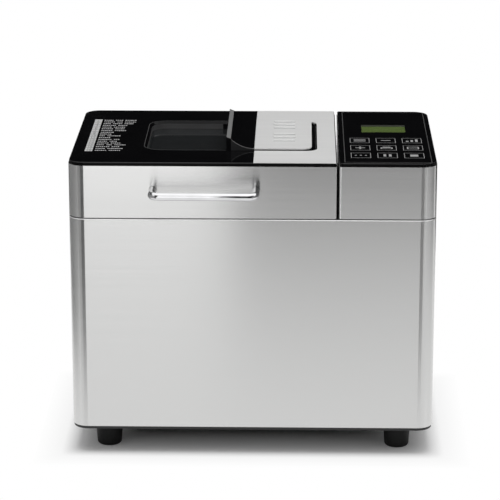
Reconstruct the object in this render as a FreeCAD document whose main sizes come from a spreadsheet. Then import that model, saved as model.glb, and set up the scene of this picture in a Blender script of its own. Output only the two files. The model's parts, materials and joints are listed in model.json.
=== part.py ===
"""Bread machine: a steel-clad housing with a hinged lid, a bread pan, a heater and a belt drive.

Millimetres. X runs to the right, Y to the back and Z up. The origin is on the table, under the middle
of the machine's outline.
"""
import FreeCAD, Part
import math
import os
import re

import Sketcher

# Driving dimensions
SIZES = {
    # Outer form
    "body_width": 365,
    "body_depth": 228,
    "corner_radius": 16,
    "foot_height": 27,
    "rim_height": 3.2,
    "wrap_height": 218.2,
    "seam_gap": 1,
    "band_height": 53,
    "plate_thick": 3.6,
    "panel_width": 97,
    "panel_gap": 2,
    # Walls and fits
    "steel": 1.2,
    "plastic": 2.5,
    "sheet": 1,
    "fit": 0.2,
    "running": 0.05,
    "gap": 0.4,
    "edge_round": 1.2,
    # Feet and base
    "foot_top": 28.5,
    "foot_bottom": 25,
    "foot_round": 3,
    "foot_inset": 35,
    "spigot": 8,
    "base_thick": 3,
    "base_wall": 16,
    "pillar": 14,
    "pillar_inset": 64,
    "screw_head": 7,
    "screw_shank": 3.4,
    "head_height": 2.4,
    "screw_length": 12,
    "base_slot_length": 56,
    "base_slot_width": 4,
    "base_slot_pitch": 9,
    "base_slots": 7,
    # Back
    "rear_open_width": 250,
    "rear_open_height": 150,
    "rear_open_rise": 30,
    "rear_lap": 8,
    "louvre_length": 46,
    "louvre_width": 3.5,
    "louvre_pitch": 8,
    "louvres": 7,
    "gland_flange": 22,
    "gland_sleeve": 13,
    "gland_bore": 7.4,
    "gland_reach": 8,
    "gland_rise": 30,
    "gland_inset": 30,
    "side_slot_height": 34,
    "side_slot_width": 3.5,
    "side_slot_pitch": 8,
    "side_slots": 8,
    # Drive space, oven and deck
    "drive_space": 30,
    "chassis_thick": 1.5,
    "chassis_lip": 9,
    "chassis_margin": 15,
    "deck_thick": 3,
    "chamber_width": 210,
    "chamber_length": 176,
    "chamber_radius": 24,
    "chamber_flange": 9,
    # Hinge
    "hinge_drop": 7,
    "hinge_pin": 4,
    "hinge_pin_length": 44,
    "hinge_spread": 150,
    "ear_width": 8,
    "ear_radius": 4.6,
    "barrel_radius": 5.6,
    "ear_sweep": 8.8,
    # Heater and sensor
    "heater_tube": 6.5,
    "heater_rise": 17,
    "heater_width": 194,
    "heater_length": 160,
    "heater_bend": 34,
    "heater_terminals": 36,
    "heater_elbow": 9,
    "heater_tail": 16,
    "sensor_probe": 6,
    "sensor_flange": 18,
    "sensor_reach": 10,
    "sensor_rise": 90,
    # Pan
    "pan_lift": 23.5,
    "pan_height": 136,
    "pan_top_width": 178,
    "pan_top_length": 136,
    "pan_draft": 5,
    "pan_radius": 20,
    "pan_wall": 1.5,
    "pan_rim": 5,
    "skirt_diameter": 84,
    "stud_diameter": 5,
    "stud_drop": 10,
    "bail_rod": 4.4,
    "bail_reach": 78,
    "bail_bend": 14,
    "bail_eye": 11,
    "bail_eye_thick": 3.5,
    "clip_width": 24,
    "clip_height": 13,
    "clip_bend": 7.8,
    "clip_foot": 13,
    # Drive line
    "shaft_diameter": 10,
    "barrel_diameter": 26,
    "bush_diameter": 16,
    "bush_length": 9,
    "housing_flange": 64,
    "flange_thick": 4,
    "housing_top_rise": 5.5,
    "housing_drop": 14.4,
    "rib_width": 4,
    "housing_ribs": 4,
    "dog_diameter": 32,
    "dog_thick": 4,
    "dog_lug": 7,
    "dog_lug_height": 6,
    "wing_length": 28,
    "wing_thick": 6,
    "wing_height": 5,
    "pan_shaft_diameter": 8,
    "pan_bush_diameter": 16,
    "pan_bush_flange": 24,
    "pan_bush_rise": 2,
    "pan_bush_drop": 6,
    "paddle_hub": 17,
    "paddle_height": 30,
    "paddle_reach": 47,
    "paddle_thick": 5,
    "shaft_flat": 1,
    # Belt and pulleys
    "pulley_diameter": 92,
    "motor_pulley_diameter": 23,
    "pulley_rise": 4,
    "pulley_width": 11,
    "rib_pitch": 2.34,
    "groove_depth": 2,
    "belt_ribs": 4,
    "belt_back": 1.6,
    "belt_gap": 0.35,
    "rim_thick": 7,
    "web_thick": 4,
    "pulley_hub": 24,
    "web_hole": 14,
    "web_holes": 6,
    # Motor
    "motor_inset": 50,
    "motor_side": 76,
    "motor_corner": 10,
    "motor_legs": 8,
    "leg_diameter": 9,
    "bracket_height": 16,
    "bracket_wall": 3,
    "core_height": 32,
    "rotor_diameter": 38,
    "air_gap": 0.5,
    "winding_width": 11,
    "winding_height": 11,
    "motor_shaft": 8,
    "bearing_boss": 20,
    "stator_slots": 12,
    "slot_width": 5,
    # Boards
    "board_thick": 1.6,
    "power_board_width": 74,
    "power_board_length": 120,
    "power_board_drop": 18,
    "post_diameter": 7,
    "relay_height": 16,
    "relay_pitch": 22.4,
    # Control panel
    "frame_inset": 0.6,
    "panel_margin": 5,
    "panel_thick": 2.2,
    "panel_ledge": 2.5,
    "frame_skirt": 7,
    "key_width": 21,
    "key_length": 21.5,
    "key_radius": 1.2,
    "key_gap": 0.3,
    "key_proud": 0.2,
    "key_pitch_x": 26.5,
    "key_pitch_y": 31.2,
    "key_first_x": 21.9,
    "key_first_y": 33.2,
    "key_flange": 1.2,
    "key_flange_thick": 1,
    "key_stem": 5,
    "key_travel": 0.5,
    "switch_side": 6,
    "switch_body": 3.5,
    "switch_plunger": 3,
    "switch_plunger_height": 1.4,
    "display_width": 45.6,
    "display_length": 36,
    "display_x": 47.5,
    "display_y": 150,
    "lens_sink": 0.8,
    "lens_lap": 2,
    "lens_flange": 1,
    "board_drop": 14,
    "board_front": 14,
    "board_side": 5.5,
    "post_inset": 8.5,
    "panel_radius": 3,
    "frame_wall": 2.4,
    "inner_corner": 2.2,
    # Lid
    "lid_floor": 3,
    "seal_width": 6,
    "seal_depth": 1.5,
    "seal_inset": 3,
    "seal_lift": 0.3,
    "liner_rise": 15.4,
    "liner_lap": 6,
    "liner_inset": 3,
    "liner_round": 4,
    "trim_thick": 1.2,
    "trim_margin": 1,
    "trim_width": 82.5,
    "window_inset": 74.5,
    "window_under": 6,
    "window_length": 122,
    "window_shift": 2,
    "window_radius": 15.5,
    "window_bevel": 2.5,
    "well_depth": 8,
    "glass_thick": 3,
    "glass_ledge": 4,
    "glass_seat": 2,
    "glass_frame": 3,
    "handle_span": 102,
    "handle_rod": 7.7,
    "handle_reach": 26,
    "handle_bend": 7,
    "handle_rise": 28.9,
    "handle_shift": 2.2,
    "handle_boss": 15,
    "handle_boss_depth": 9,
    "handle_grip": 7,
    # Dispenser
    "cover_radius": 10,
    "cover_inset": 24.9,
    "cover_width": 85.6,
    "cover_length": 125,
    "cover_shift": 0.5,
    "cover_thick": 1.8,
    "cover_rise": 13.7,
    "lip_width": 4.6,
    "lip_fall": 1.9,
    "trough_width": 5.4,
    "trough_rib": 2.5,
    "cover_barrel": 3.8,
    "cover_pin": 2,
    "cover_pin_grip": 4,
    "cover_axis_drop": 2.4,
    "rib_left": 18,
    "rib_length": 23.5,
    "rib_breadth": 4.6,
    "rib_height": 0.8,
    "rib_round": 0.64,
    "rib_step": 13.6,
    "rib_group": 55.5,
    "rib_groups": 2,
    "ribs": 3,
    "rib_first": 86,
    "hopper_wall": 2,
    "hopper_inset": 12.6,
    "hopper_shift": 3.5,
    "hopper_width": 52,
    "hopper_length": 112,
    "hopper_flange": 3,
    "hopper_radius": 5,
    "hopper_depth": 29,
    "flap_thick": 2,
    "flap_offset": 3.4,
    "flap_barrel": 5,
    "flap_room": 2.5,
    "lug_round": 6,
    "flap_pivot": 3,
    "lug_width": 5,
    "crank_radius": 6,
    "crank_lag": 40,
    "crank_pin": 2.4,
    "crank_thick": 2.5,
    "crank_round": 1.8,
    "solenoid_length": 30,
    "solenoid_side": 18,
    "solenoid_gap": 16,
    "plunger_diameter": 6,
    "fork_thick": 3,
    "fork_half": 5.5,
    "plunger_grip": 18,
}

# Places and lengths that follow from the driving dimensions
PLACES = {
    "left": "-body_width / 2",
    "right": "body_width / 2",
    "handle_front": "handle_reach + handle_rod / 2",
    "front": "handle_front - (handle_front + body_depth + gland_reach) / 2",
    "rear": "front + body_depth",
    "wrap_bottom": "foot_height + rim_height",
    "wrap_top": "wrap_bottom + wrap_height",
    "lid_bottom": "wrap_top + seam_gap",
    "band_top": "lid_bottom + band_height",
    "top": "band_top + plate_thick",
    "panel_left": "right - panel_width",
    "lid_right": "panel_left - panel_gap",
    "oven_x": "(left + lid_right) / 2",
    "oven_y": "front + body_depth / 2",
    "inner": "steel + fit",
    "base_top": "foot_height + base_thick",
    "chassis_bottom": "base_top + drive_space",
    "chassis_top": "chassis_bottom + chassis_thick",
    "chamber_floor": "chassis_top + sheet",
    "deck_bottom": "wrap_top - deck_thick",
    "chamber_right": "oven_x + chamber_width / 2",
    "hinge_y": "rear - hinge_drop",
    "hinge_z": "lid_bottom + hinge_drop",
    "pan_bottom": "chamber_floor + pan_lift",
    "pan_top": "pan_bottom + pan_height",
    "stud_z": "pan_top - stud_drop",
    "bail_x": "pan_top_width / 2 + pan_rim + bail_rod / 2 + gap",
    "pulley_bottom": "base_top + pulley_rise",
    "pulley_top": "pulley_bottom + pulley_width",
    "belt_z": "pulley_bottom + pulley_width / 2",
    "housing_bottom": "chassis_bottom - housing_drop",
    "housing_top": "chamber_floor + housing_top_rise",
    "dog_bottom": "housing_top + gap",
    "dog_top": "dog_bottom + dog_thick",
    "pan_shaft_bottom": "dog_top + gap",
    "paddle_bottom": "pan_bottom + pan_wall + pan_bush_rise + gap",
    "paddle_top": "paddle_bottom + paddle_height",
    "motor_x": "right - motor_inset",
    "bracket_bottom": "chassis_top + motor_legs",
    "core_bottom": "bracket_bottom + bracket_height",
    "core_top": "core_bottom + core_height",
    "bracket_top": "core_top + bracket_height",
    "panel_bottom": "top - panel_thick",
    "board_top": "top - board_drop",
    "switch_top": "board_top + switch_body + switch_plunger_height",
    "lid_frame_bottom": "lid_bottom + gap",
    "lid_floor_top": "lid_frame_bottom + lid_floor",
    "liner_top": "lid_floor_top + liner_rise",
    "glass_top": "top - well_depth",
    "glass_bottom": "glass_top - glass_thick",
    "trim_bottom": "top - trim_thick",
    "cover_bottom": "trim_bottom + gap",
    "cover_floor": "cover_bottom + cover_thick",
    "cover_top": "cover_floor + trim_thick",
    "trim_left": "lid_right - trim_width",
    "cover_right": "lid_right - cover_inset",
    "cover_left": "cover_right - cover_width",
    "cover_y": "oven_y + cover_shift",
    "cover_front": "cover_y - cover_length / 2",
    "cover_back": "cover_y + cover_length / 2",
    "curl_rise": "top + cover_rise - lip_fall - cover_top",
    "curl_run": "trim_left - cover_left - lip_width",
    "curl_radius": "(curl_run ^ 2 + curl_rise ^ 2) / (2 * curl_rise)",
    "window_left": "left + window_inset",
    "window_right": "cover_left + window_under",
    "window_y": "oven_y + window_shift",
    "trough_right": "cover_right + trough_width",
    "cover_axis_x": "cover_right + trough_width / 2",
    "cover_axis_z": "top - cover_axis_drop",
    "trough_floor": "cover_axis_z - cover_barrel / 2 - gap",
    "hopper_right": "cover_right - hopper_inset",
    "hopper_left": "hopper_right - hopper_width",
    "hopper_front": "oven_y + hopper_shift - hopper_length / 2",
    "hopper_back": "hopper_front + hopper_length",
    "hopper_bottom": "band_top - hopper_depth",
    "flap_top": "hopper_bottom - gap",
    "flap_bottom": "flap_top - flap_thick",
    "flap_axis_x": "hopper_left - flap_offset",
    "flap_axis_z": "flap_top - flap_barrel / 2",
    "plunger_y": "hopper_front - crank_thick - solenoid_side / 2 - 2 * gap",
    "plunger_z": "flap_axis_z + crank_radius * cos(crank_lag / 2)",
    "crank_x": "flap_axis_x - crank_radius * sin(crank_lag)",
    "crank_z": "flap_axis_z + crank_radius * cos(crank_lag)",
    "solenoid_left": "crank_x + solenoid_gap",
    "handle_z": "lid_bottom + handle_rise",
}

doc = FreeCAD.newDocument("BreadMachine")
owner = {}


def fill_sheet(name, cells, prefix):
    """A spreadsheet with one named cell for each entry."""
    sheet = doc.addObject("Spreadsheet::Sheet", name)
    for row, (alias, content) in enumerate(cells.items(), start=1):
        sheet.set(f"A{row}", prefix + link(str(content)))
        sheet.setAlias(f"A{row}", alias)
        owner[alias] = name + "."
    doc.recompute()
    return sheet


def link(text):
    """The expression with each cell's name led by its sheet."""
    return re.sub(r"[A-Za-z_]\w*", lambda word: owner.get(word.group(), "") + word.group(), text)


sizes = fill_sheet("Sizes", SIZES, "")
places = fill_sheet("Places", PLACES, "=")


def number(text):
    """The present value of an expression."""
    return float(places.evalExpression(link(text)))


def point(x, y):
    return FreeCAD.Vector(number(x), number(y), 0)


def hold(sketch, kind, geometry, spot, text):
    """Keeps one coordinate of a sketch point, or a radius, at an expression."""
    if kind == "Radius":
        rule = Sketcher.Constraint(kind, geometry, number(text))
    else:
        rule = Sketcher.Constraint(kind, -1, 1, geometry, spot, number(text))
    index = sketch.addConstraint(rule)
    sketch.setExpression(f"Constraints[{index}]", link(text))


def arc_between(start, end, centre, turns_left):
    """An arc from start to end, and the numbers of its two end points in that order."""
    first, last = (start, end) if turns_left else (end, start)
    circle = Part.Circle(centre, FreeCAD.Vector(0, 0, 1), (start - centre).Length)
    angles = [math.atan2(spot.y - centre.y, spot.x - centre.x) for spot in (first, last)]
    if angles[1] < angles[0]:
        angles[1] += 2 * math.pi
    return Part.ArcOfCircle(circle, *angles), (1, 2) if turns_left else (2, 1)


def ring(x, y, diameter):
    """A circle for a sketch."""
    def draw(sketch):
        circle = Part.Circle(point(x, y), FreeCAD.Vector(0, 0, 1), number(diameter) / 2)
        index = sketch.addGeometry(circle)
        hold(sketch, "DistanceX", index, 3, x)
        hold(sketch, "DistanceY", index, 3, y)
        hold(sketch, "Radius", index, 0, f"({diameter}) / 2")
    return draw


def bent(points, radii, closed=True):
    """A line of level and upright runs, whose corners have the given radii ("" for a sharp one)."""
    def draw(sketch):
        corners = [point(*pair) for pair in points]
        count = len(corners)
        runs = count if closed else count - 1
        steps = [(corners[(i + 1) % count] - corners[i]).normalize() for i in range(runs)]
        inner = range(count) if closed else range(1, count - 1)
        cut_back = [number(radii[i]) if i in inner and radii[i] else 0 for i in range(count)]
        lines = []
        for i in range(runs):
            start = corners[i] + steps[i] * cut_back[i]
            end = corners[(i + 1) % count] - steps[i] * cut_back[(i + 1) % count]
            line = sketch.addGeometry(Part.LineSegment(start, end))
            level = abs(steps[i].y) < abs(steps[i].x)
            sketch.addConstraint(Sketcher.Constraint("Horizontal" if level else "Vertical", line))
            hold(sketch, "DistanceY" if level else "DistanceX", line, 1, points[i][1 if level else 0])
            lines.append(line)
        for i in inner:
            before, after = lines[i - 1], lines[i]
            if not cut_back[i]:
                sketch.addConstraint(Sketcher.Constraint("Coincident", before, 2, after, 1))
                continue
            start = corners[i] - steps[i - 1] * cut_back[i]
            end = corners[i] + steps[i] * cut_back[i]
            centre = start + steps[i] * cut_back[i]
            arc, (first, last) = arc_between(start, end, centre, steps[i - 1].cross(steps[i]).z > 0)
            index = sketch.addGeometry(arc)
            sketch.addConstraint(Sketcher.Constraint("Tangent", before, 2, index, first))
            sketch.addConstraint(Sketcher.Constraint("Tangent", index, last, after, 1))
            hold(sketch, "Radius", index, 0, radii[i])
        if not closed:
            free_ends = ((lines[0], 1, points[0], steps[0]), (lines[-1], 2, points[-1], steps[-1]))
            for line, spot, pair, step in free_ends:
                level = abs(step.y) < abs(step.x)
                hold(sketch, "DistanceX" if level else "DistanceY", line, spot, pair[0 if level else 1])
    return draw


def box(x_low, x_high, y_low, y_high, *radii):
    """A rectangle with one radius for all corners, or four from the low corner round, or none."""
    radii = radii * 4 if len(radii) == 1 else radii or ("",) * 4
    return bent(((x_low, y_low), (x_high, y_low), (x_high, y_high), (x_low, y_high)), radii)


def outline(*points, arcs=None):
    """A closed loop through the points. arcs gives radii to sides after them, minus to turn right."""
    def draw(sketch):
        corners = [point(*pair) for pair in points]
        sides = []
        for i, start in enumerate(corners):
            end = corners[(i + 1) % len(corners)]
            ends = (1, 2)
            side = Part.LineSegment(start, end)
            if arcs and i in arcs:
                radius = number(arcs[i])
                chord = end - start
                rise = math.sqrt(max(radius ** 2 - chord.Length ** 2 / 4, 0))
                across = FreeCAD.Vector(-chord.y, chord.x, 0).normalize()
                centre = (start + end) * 0.5 + across * math.copysign(rise, radius)
                side, ends = arc_between(start, end, centre, radius > 0)
            index = sketch.addGeometry(side)
            hold(sketch, "DistanceX", index, ends[0], points[i][0])
            hold(sketch, "DistanceY", index, ends[0], points[i][1])
            if arcs and i in arcs:
                hold(sketch, "Radius", index, 0, f"abs({arcs[i]})")
            sides.append((index, ends))
        for (before, ends), (after, starts) in zip(sides, sides[1:] + sides[:1]):
            sketch.addConstraint(Sketcher.Constraint("Coincident", before, ends[1], after, starts[0]))
    return draw


def new_body(label):
    body = doc.addObject("PartDesign::Body", label)
    body.Label = label
    body.AllowCompound = True
    return body


def sketch_in(body, plane, height, loops, origin=("0", "0")):
    """A sketch on one of the body's planes, at a height along its normal and about an origin in it."""
    sketch = body.newObject("Sketcher::SketchObject", "Sketch")
    support = next(item for item in body.Origin.OriginFeatures if item.Role == plane + "_Plane")
    sketch.AttachmentSupport = [(support, "")]
    sketch.MapMode = "FlatFace"
    sign = "-" if plane == "XZ" else ""
    for axis, text in zip("xyz", (*origin, f"{sign}({height})")):
        sketch.setExpression(f"AttachmentOffset.Base.{axis}", link(text))
    for draw in loops:
        draw(sketch)
    return sketch


def prism(body, plane, low, high, *loops, cut=False, origin=("0", "0")):
    """A straight-sided form between two heights along the plane's axis, added or cut away."""
    sketch = sketch_in(body, plane, low, loops, origin)
    feature = body.newObject("PartDesign::Pocket" if cut else "PartDesign::Pad", "Cut" if cut else "Form")
    feature.Profile = sketch
    feature.setExpression("Length", link(f"({high}) - ({low})"))
    feature.Reversed = (plane == "XZ") != cut
    return feature


def turned(body, x, y, *loops):
    """A form turned about the upright axis at x, y. The loops give radius and height."""
    sketch = sketch_in(body, "XZ", y, loops, origin=(x, "0"))
    feature = body.newObject("PartDesign::Revolution", "Turned")
    feature.Profile = sketch
    feature.ReferenceAxis = (sketch, ["V_Axis"])
    feature.Angle = 360
    return feature


def fin(body, x, y, thick, loop):
    """A flat web that stands out from the upright axis at x, y. The loop gives radius and height."""
    sketch = sketch_in(body, "XZ", y, [loop], origin=(x, "0"))
    feature = body.newObject("PartDesign::Pad", "Fin")
    feature.Profile = sketch
    feature.setExpression("Length", link(thick))
    feature.SideType = "Symmetric"
    return feature


def swept(body, path, section):
    """A rod or strip along a path."""
    feature = body.newObject("PartDesign::AdditivePipe", "Swept")
    feature.Profile = section
    feature.Spine = path
    return feature


def repeated(body, feature, direction, pitch, count):
    """Copies of a feature along its sketch's H_Axis or V_Axis."""
    pattern = body.newObject("PartDesign::LinearPattern", "Row")
    pattern.Originals = [feature]
    pattern.Direction = (feature.Profile[0], [direction])
    pattern.Mode = "Spacing"
    pattern.setExpression("Offset", link(pitch))
    pattern.setExpression("Occurrences", link(count))
    body.Tip = pattern
    return pattern


def around(body, feature, axis, count):
    """Copies of a feature about the V_Axis or N_Axis of its sketch."""
    pattern = body.newObject("PartDesign::PolarPattern", "Round")
    pattern.Originals = [feature]
    pattern.Axis = (feature.Profile[0], [axis])
    pattern.Angle = 360
    pattern.setExpression("Occurrences", link(count))
    body.Tip = pattern
    return pattern


def eased(body, radius, wanted, kind="Fillet"):
    """Rounds or bevels the edges of the body that are wanted."""
    doc.recompute()
    base = body.Tip
    names = [f"Edge{i}" for i, edge in enumerate(base.Shape.Edges, start=1) if wanted(edge)]
    feature = body.newObject("PartDesign::" + kind, kind)
    feature.Base = (base, names)
    feature.setExpression("Radius" if kind == "Fillet" else "Size", link(radius))
    return feature


def level_at(height):
    """Picks edges that lie level at a height."""
    z = number(height)
    return lambda edge: abs(edge.BoundBox.ZMin - z) < 1e-4 and abs(edge.BoundBox.ZMax - z) < 1e-4


def case_box(margin, radius_left="corner_radius", radius_right="corner_radius", x_low="left", x_high="right"):
    """The machine's outline, or a part of it, moved in by a margin. No corner is left sharp."""
    corner_left = f"max({radius_left} - ({margin}); gap)"
    corner_right = f"max({radius_right} - ({margin}); gap)"
    return box(f"{x_low} + ({margin})", f"{x_high} - ({margin})", f"front + ({margin})", f"rear - ({margin})",
               corner_left, corner_right, corner_right, corner_left)


def oven_box(width, length, radius):
    """A rounded rectangle about the oven's middle."""
    return box(f"oven_x - ({width}) / 2", f"oven_x + ({width}) / 2",
               f"oven_y - ({length}) / 2", f"oven_y + ({length}) / 2", radius)


foot_spots = [(x, y) for x in ("left + foot_inset", "right - foot_inset")
              for y in ("front + foot_inset", "rear - foot_inset")]
chassis_sides = ("left + chassis_margin", "right - chassis_margin",
                 "oven_y - chamber_length / 2", "oven_y + chamber_length / 2")
pillar_spots = [(x, y) for x in ("left + pillar_inset", "right - pillar_inset")
                for y in (f"{chassis_sides[2]} + pillar", f"{chassis_sides[3]} - pillar")]


def make_feet():
    body = new_body("feet")
    for x, y in foot_spots:
        turned(body, x, y, outline(
            ("0", "0"), ("foot_bottom / 2 - foot_round", "0"), ("foot_bottom / 2", "foot_round"),
            ("foot_top / 2", "foot_height"), ("spigot / 2", "foot_height"), ("spigot / 2", "base_top"),
            ("0", "base_top"), arcs={1: "foot_round"}))


def make_base_tray():
    body = new_body("base_tray")
    prism(body, "XY", "foot_height", "wrap_bottom", case_box("frame_inset"))
    eased(body, "edge_round", level_at("foot_height"))
    prism(body, "XY", "foot_height + edge_round", "foot_height + base_wall", case_box("inner"))
    prism(body, "XY", "base_top", "foot_height + base_wall", case_box("inner + plastic"), cut=True)
    for x, y in pillar_spots:
        prism(body, "XY", "foot_height + edge_round", "chassis_bottom", ring(x, y, "pillar"))
        prism(body, "XY", "foot_height", "foot_height + head_height + gap",
              ring(x, y, "screw_head + gap"), cut=True)
        prism(body, "XY", "foot_height", "foot_height + screw_length + gap",
              ring(x, y, "screw_shank + 2 * running"), cut=True)
    for x, y in foot_spots:
        prism(body, "XY", "foot_height", "base_top", ring(x, y, "spigot + 2 * fit"), cut=True)
    for x in ("oven_x", "motor_x"):
        slot = prism(body, "XY", "foot_height", "base_top", box(
            f"{x} - base_slot_length / 2", f"{x} + base_slot_length / 2",
            "oven_y - base_slot_pitch * (base_slots - 1) / 2 - base_slot_width / 2",
            "oven_y - base_slot_pitch * (base_slots - 1) / 2 + base_slot_width / 2"), cut=True)
        repeated(body, slot, "V_Axis", "base_slot_pitch", "base_slots")


def rear_box(margin):
    """The opening in the back of the wrap, grown by a margin."""
    return box(f"-rear_open_width / 2 - ({margin})", f"rear_open_width / 2 + ({margin})",
               f"wrap_bottom + rear_open_rise - ({margin})",
               f"wrap_bottom + rear_open_rise + rear_open_height + ({margin})", "edge_round * 4")


rear_screw_spots = [(f"{side} * (rear_open_width + rear_lap) / 2", z) for side in (-1, 1)
                    for z in ("wrap_bottom + rear_open_rise + pillar",
                              "wrap_bottom + rear_open_rise + rear_open_height - pillar")]
gland_spot = ("-rear_open_width / 2 + gland_inset", "wrap_bottom + rear_open_rise + gland_rise")


def make_body_wrap():
    body = new_body("body_wrap")
    prism(body, "XY", "wrap_bottom", "wrap_top", case_box("0"), case_box("steel"))
    prism(body, "XZ", "rear - 2 * steel", "rear + steel", rear_box("0"), cut=True)
    for x, z in rear_screw_spots:
        prism(body, "XZ", "rear - 2 * steel", "rear + steel", ring(x, z, "screw_shank + 2 * fit"), cut=True)
    first = "oven_y - side_slot_pitch * (side_slots - 1) / 2"
    slot = prism(body, "YZ", "right - 2 * steel", "right + steel", box(
        first, f"{first} + side_slot_width", "core_bottom", "core_bottom + side_slot_height",
        "side_slot_width / 2 - running"), cut=True)
    repeated(body, slot, "H_Axis", "side_slot_pitch", "side_slots")


def make_rear_panel():
    body = new_body("rear_panel")
    prism(body, "XZ", "rear - steel - plastic", "rear - steel", rear_box("rear_lap"))
    prism(body, "XZ", "rear - steel - plastic", "rear", rear_box("-fit"))
    for x, z in rear_screw_spots:
        prism(body, "XZ", "rear - screw_length", "rear - steel", ring(x, z, "screw_head"))
        prism(body, "XZ", "rear - screw_length", "rear", ring(x, z, "screw_shank + 2 * running"), cut=True)
    prism(body, "XZ", "rear - 2 * plastic - steel", "rear + steel",
          ring(*gland_spot, "gland_sleeve + 2 * fit"), cut=True)
    for x in ("oven_x", "motor_x - louvre_length"):
        slot = prism(body, "XZ", "rear - 2 * plastic - steel", "rear + steel", box(
            f"{x} - louvre_length / 2", f"{x} + louvre_length / 2",
            "stud_z - louvre_pitch * louvres - louvre_width", "stud_z - louvre_pitch * louvres",
            "louvre_width / 2 - running"), cut=True)
        repeated(body, slot, "V_Axis", "louvre_pitch", "louvres")


def make_cord_gland():
    body = new_body("cord_gland")
    prism(body, "XZ", "rear - gland_reach", "rear + gland_reach", ring(*gland_spot, "gland_sleeve"))
    prism(body, "XZ", "rear", "rear + plastic", ring(*gland_spot, "gland_flange"))
    prism(body, "XZ", "rear - 2 * gland_reach", "rear + 2 * gland_reach",
          ring(*gland_spot, "gland_bore"), cut=True)


def make_case_screws():
    body = new_body("case_screws")
    for x, y in pillar_spots:
        prism(body, "XY", "foot_height + gap", "foot_height + gap + head_height", ring(x, y, "screw_head"))
        prism(body, "XY", "foot_height + gap", "foot_height + screw_length", ring(x, y, "screw_shank"))
    for x, z in rear_screw_spots:
        prism(body, "XZ", "rear", "rear + head_height", ring(x, z, "screw_head"))
        prism(body, "XZ", "rear - screw_length + gap", "rear + head_height", ring(x, z, "screw_shank"))


ear_places = ("oven_x - hinge_spread / 2", "oven_x + hinge_spread / 2")
power_posts = [(f"(panel_left + right - steel) / 2 + {side} * (power_board_width / 2 - post_diameter)",
                f"oven_y + {end} * (power_board_length / 2 - post_diameter)")
               for side in (-1, 1) for end in (-1, 1)]


def make_deck_frame():
    body = new_body("deck_frame")
    prism(body, "XY", "deck_bottom", "wrap_top", case_box("inner"),
          oven_box("chamber_width", "chamber_length", "chamber_radius"))
    for x in ear_places:
        prism(body, "YZ", f"{x} - ear_width / 2", f"{x} + ear_width / 2", outline(
            ("hinge_y - ear_radius", "deck_bottom"), ("hinge_y + ear_radius", "deck_bottom"),
            ("hinge_y + ear_radius", "hinge_z"), ("hinge_y - ear_radius", "hinge_z"), arcs={2: "ear_radius"}))
        prism(body, "YZ", f"{x} - ear_width", f"{x} + ear_width",
              ring("hinge_y", "hinge_z", "hinge_pin + 2 * running"), cut=True)
    for x, y in power_posts:
        prism(body, "XY", "deck_bottom - power_board_drop", "deck_bottom", ring(x, y, "post_diameter"))


def make_chassis_plate():
    body = new_body("chassis_plate")
    prism(body, "XY", "chassis_bottom", "chassis_top", box(*chassis_sides, "pillar / 2"))
    for low, high in ((chassis_sides[2], f"{chassis_sides[2]} + chassis_thick"),
                      (f"{chassis_sides[3]} - chassis_thick", chassis_sides[3])):
        prism(body, "XY", "chassis_bottom - chassis_lip", "chassis_bottom",
              box(f"{chassis_sides[0]} + 2 * pillar", f"{chassis_sides[1]} - 2 * pillar", low, high))
    prism(body, "XY", "chassis_bottom - chassis_lip", "chassis_top + chassis_lip",
          ring("oven_x", "oven_y", "barrel_diameter + 2 * fit"),
          ring("motor_x", "oven_y", "bearing_boss"), cut=True)


heater_ends = ("oven_y - heater_terminals / 2", "oven_y + heater_terminals / 2")


def make_oven_chamber():
    body = new_body("oven_chamber")
    wide, long = "chamber_width + 2 * sheet", "chamber_length + 2 * sheet"
    round_out = "chamber_radius + sheet"
    prism(body, "XY", "chassis_top", "deck_bottom", oven_box(wide, long, round_out))
    prism(body, "XY", "deck_bottom - sheet", "deck_bottom", oven_box(
        f"{wide} + 2 * chamber_flange", f"{long} + 2 * chamber_flange", f"{round_out} + chamber_flange"))
    prism(body, "XY", "chamber_floor", "deck_bottom + sheet",
          oven_box("chamber_width", "chamber_length", "chamber_radius"), cut=True)
    prism(body, "XY", "chassis_bottom", "chamber_floor + sheet",
          ring("oven_x", "oven_y", "barrel_diameter + 2 * fit"), cut=True)
    for y in heater_ends:
        prism(body, "YZ", "chamber_right - sheet", "chamber_right + 2 * sheet",
              ring(y, "chamber_floor + heater_rise", "heater_tube + 2 * fit"), cut=True)
    prism(body, "YZ", "chamber_right - sheet", "chamber_right + 2 * sheet",
          ring("oven_y", "chamber_floor + sensor_rise", "sensor_probe + 2 * fit"), cut=True)


def make_heating_element():
    body = new_body("heating_element")
    outside = "chamber_right + heater_tail"
    side_right, side_left = "oven_x + heater_width / 2", "oven_x - heater_width / 2"
    side_front, side_back = "oven_y - heater_length / 2", "oven_y + heater_length / 2"
    corners = [(outside, heater_ends[0]), (side_right, heater_ends[0]), (side_right, side_front),
               (side_left, side_front), (side_left, side_back), (side_right, side_back),
               (side_right, heater_ends[1]), (outside, heater_ends[1])]
    bends = ["", "heater_elbow"] + ["heater_bend"] * 4 + ["heater_elbow", ""]
    level = "chamber_floor + heater_rise"
    path = sketch_in(body, "XY", level, [bent(corners, bends, closed=False)])
    section = sketch_in(body, "YZ", outside, [ring(heater_ends[0], level, "heater_tube")])
    swept(body, path, section)


def make_temperature_sensor():
    body = new_body("temperature_sensor")
    spot = ("oven_y", "chamber_floor + sensor_rise")
    outer = "chamber_right + sheet"
    prism(body, "YZ", outer, f"{outer} + 2 * sheet", ring(*spot, "sensor_flange"))
    tip = "chamber_right - sensor_reach"
    prism(body, "YZ", tip, f"{outer} + sensor_reach", ring(*spot, "sensor_probe"))
    eased(body, "sensor_probe / 4", lambda edge: abs(edge.BoundBox.XMax - number(tip)) < 1e-4)


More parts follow.
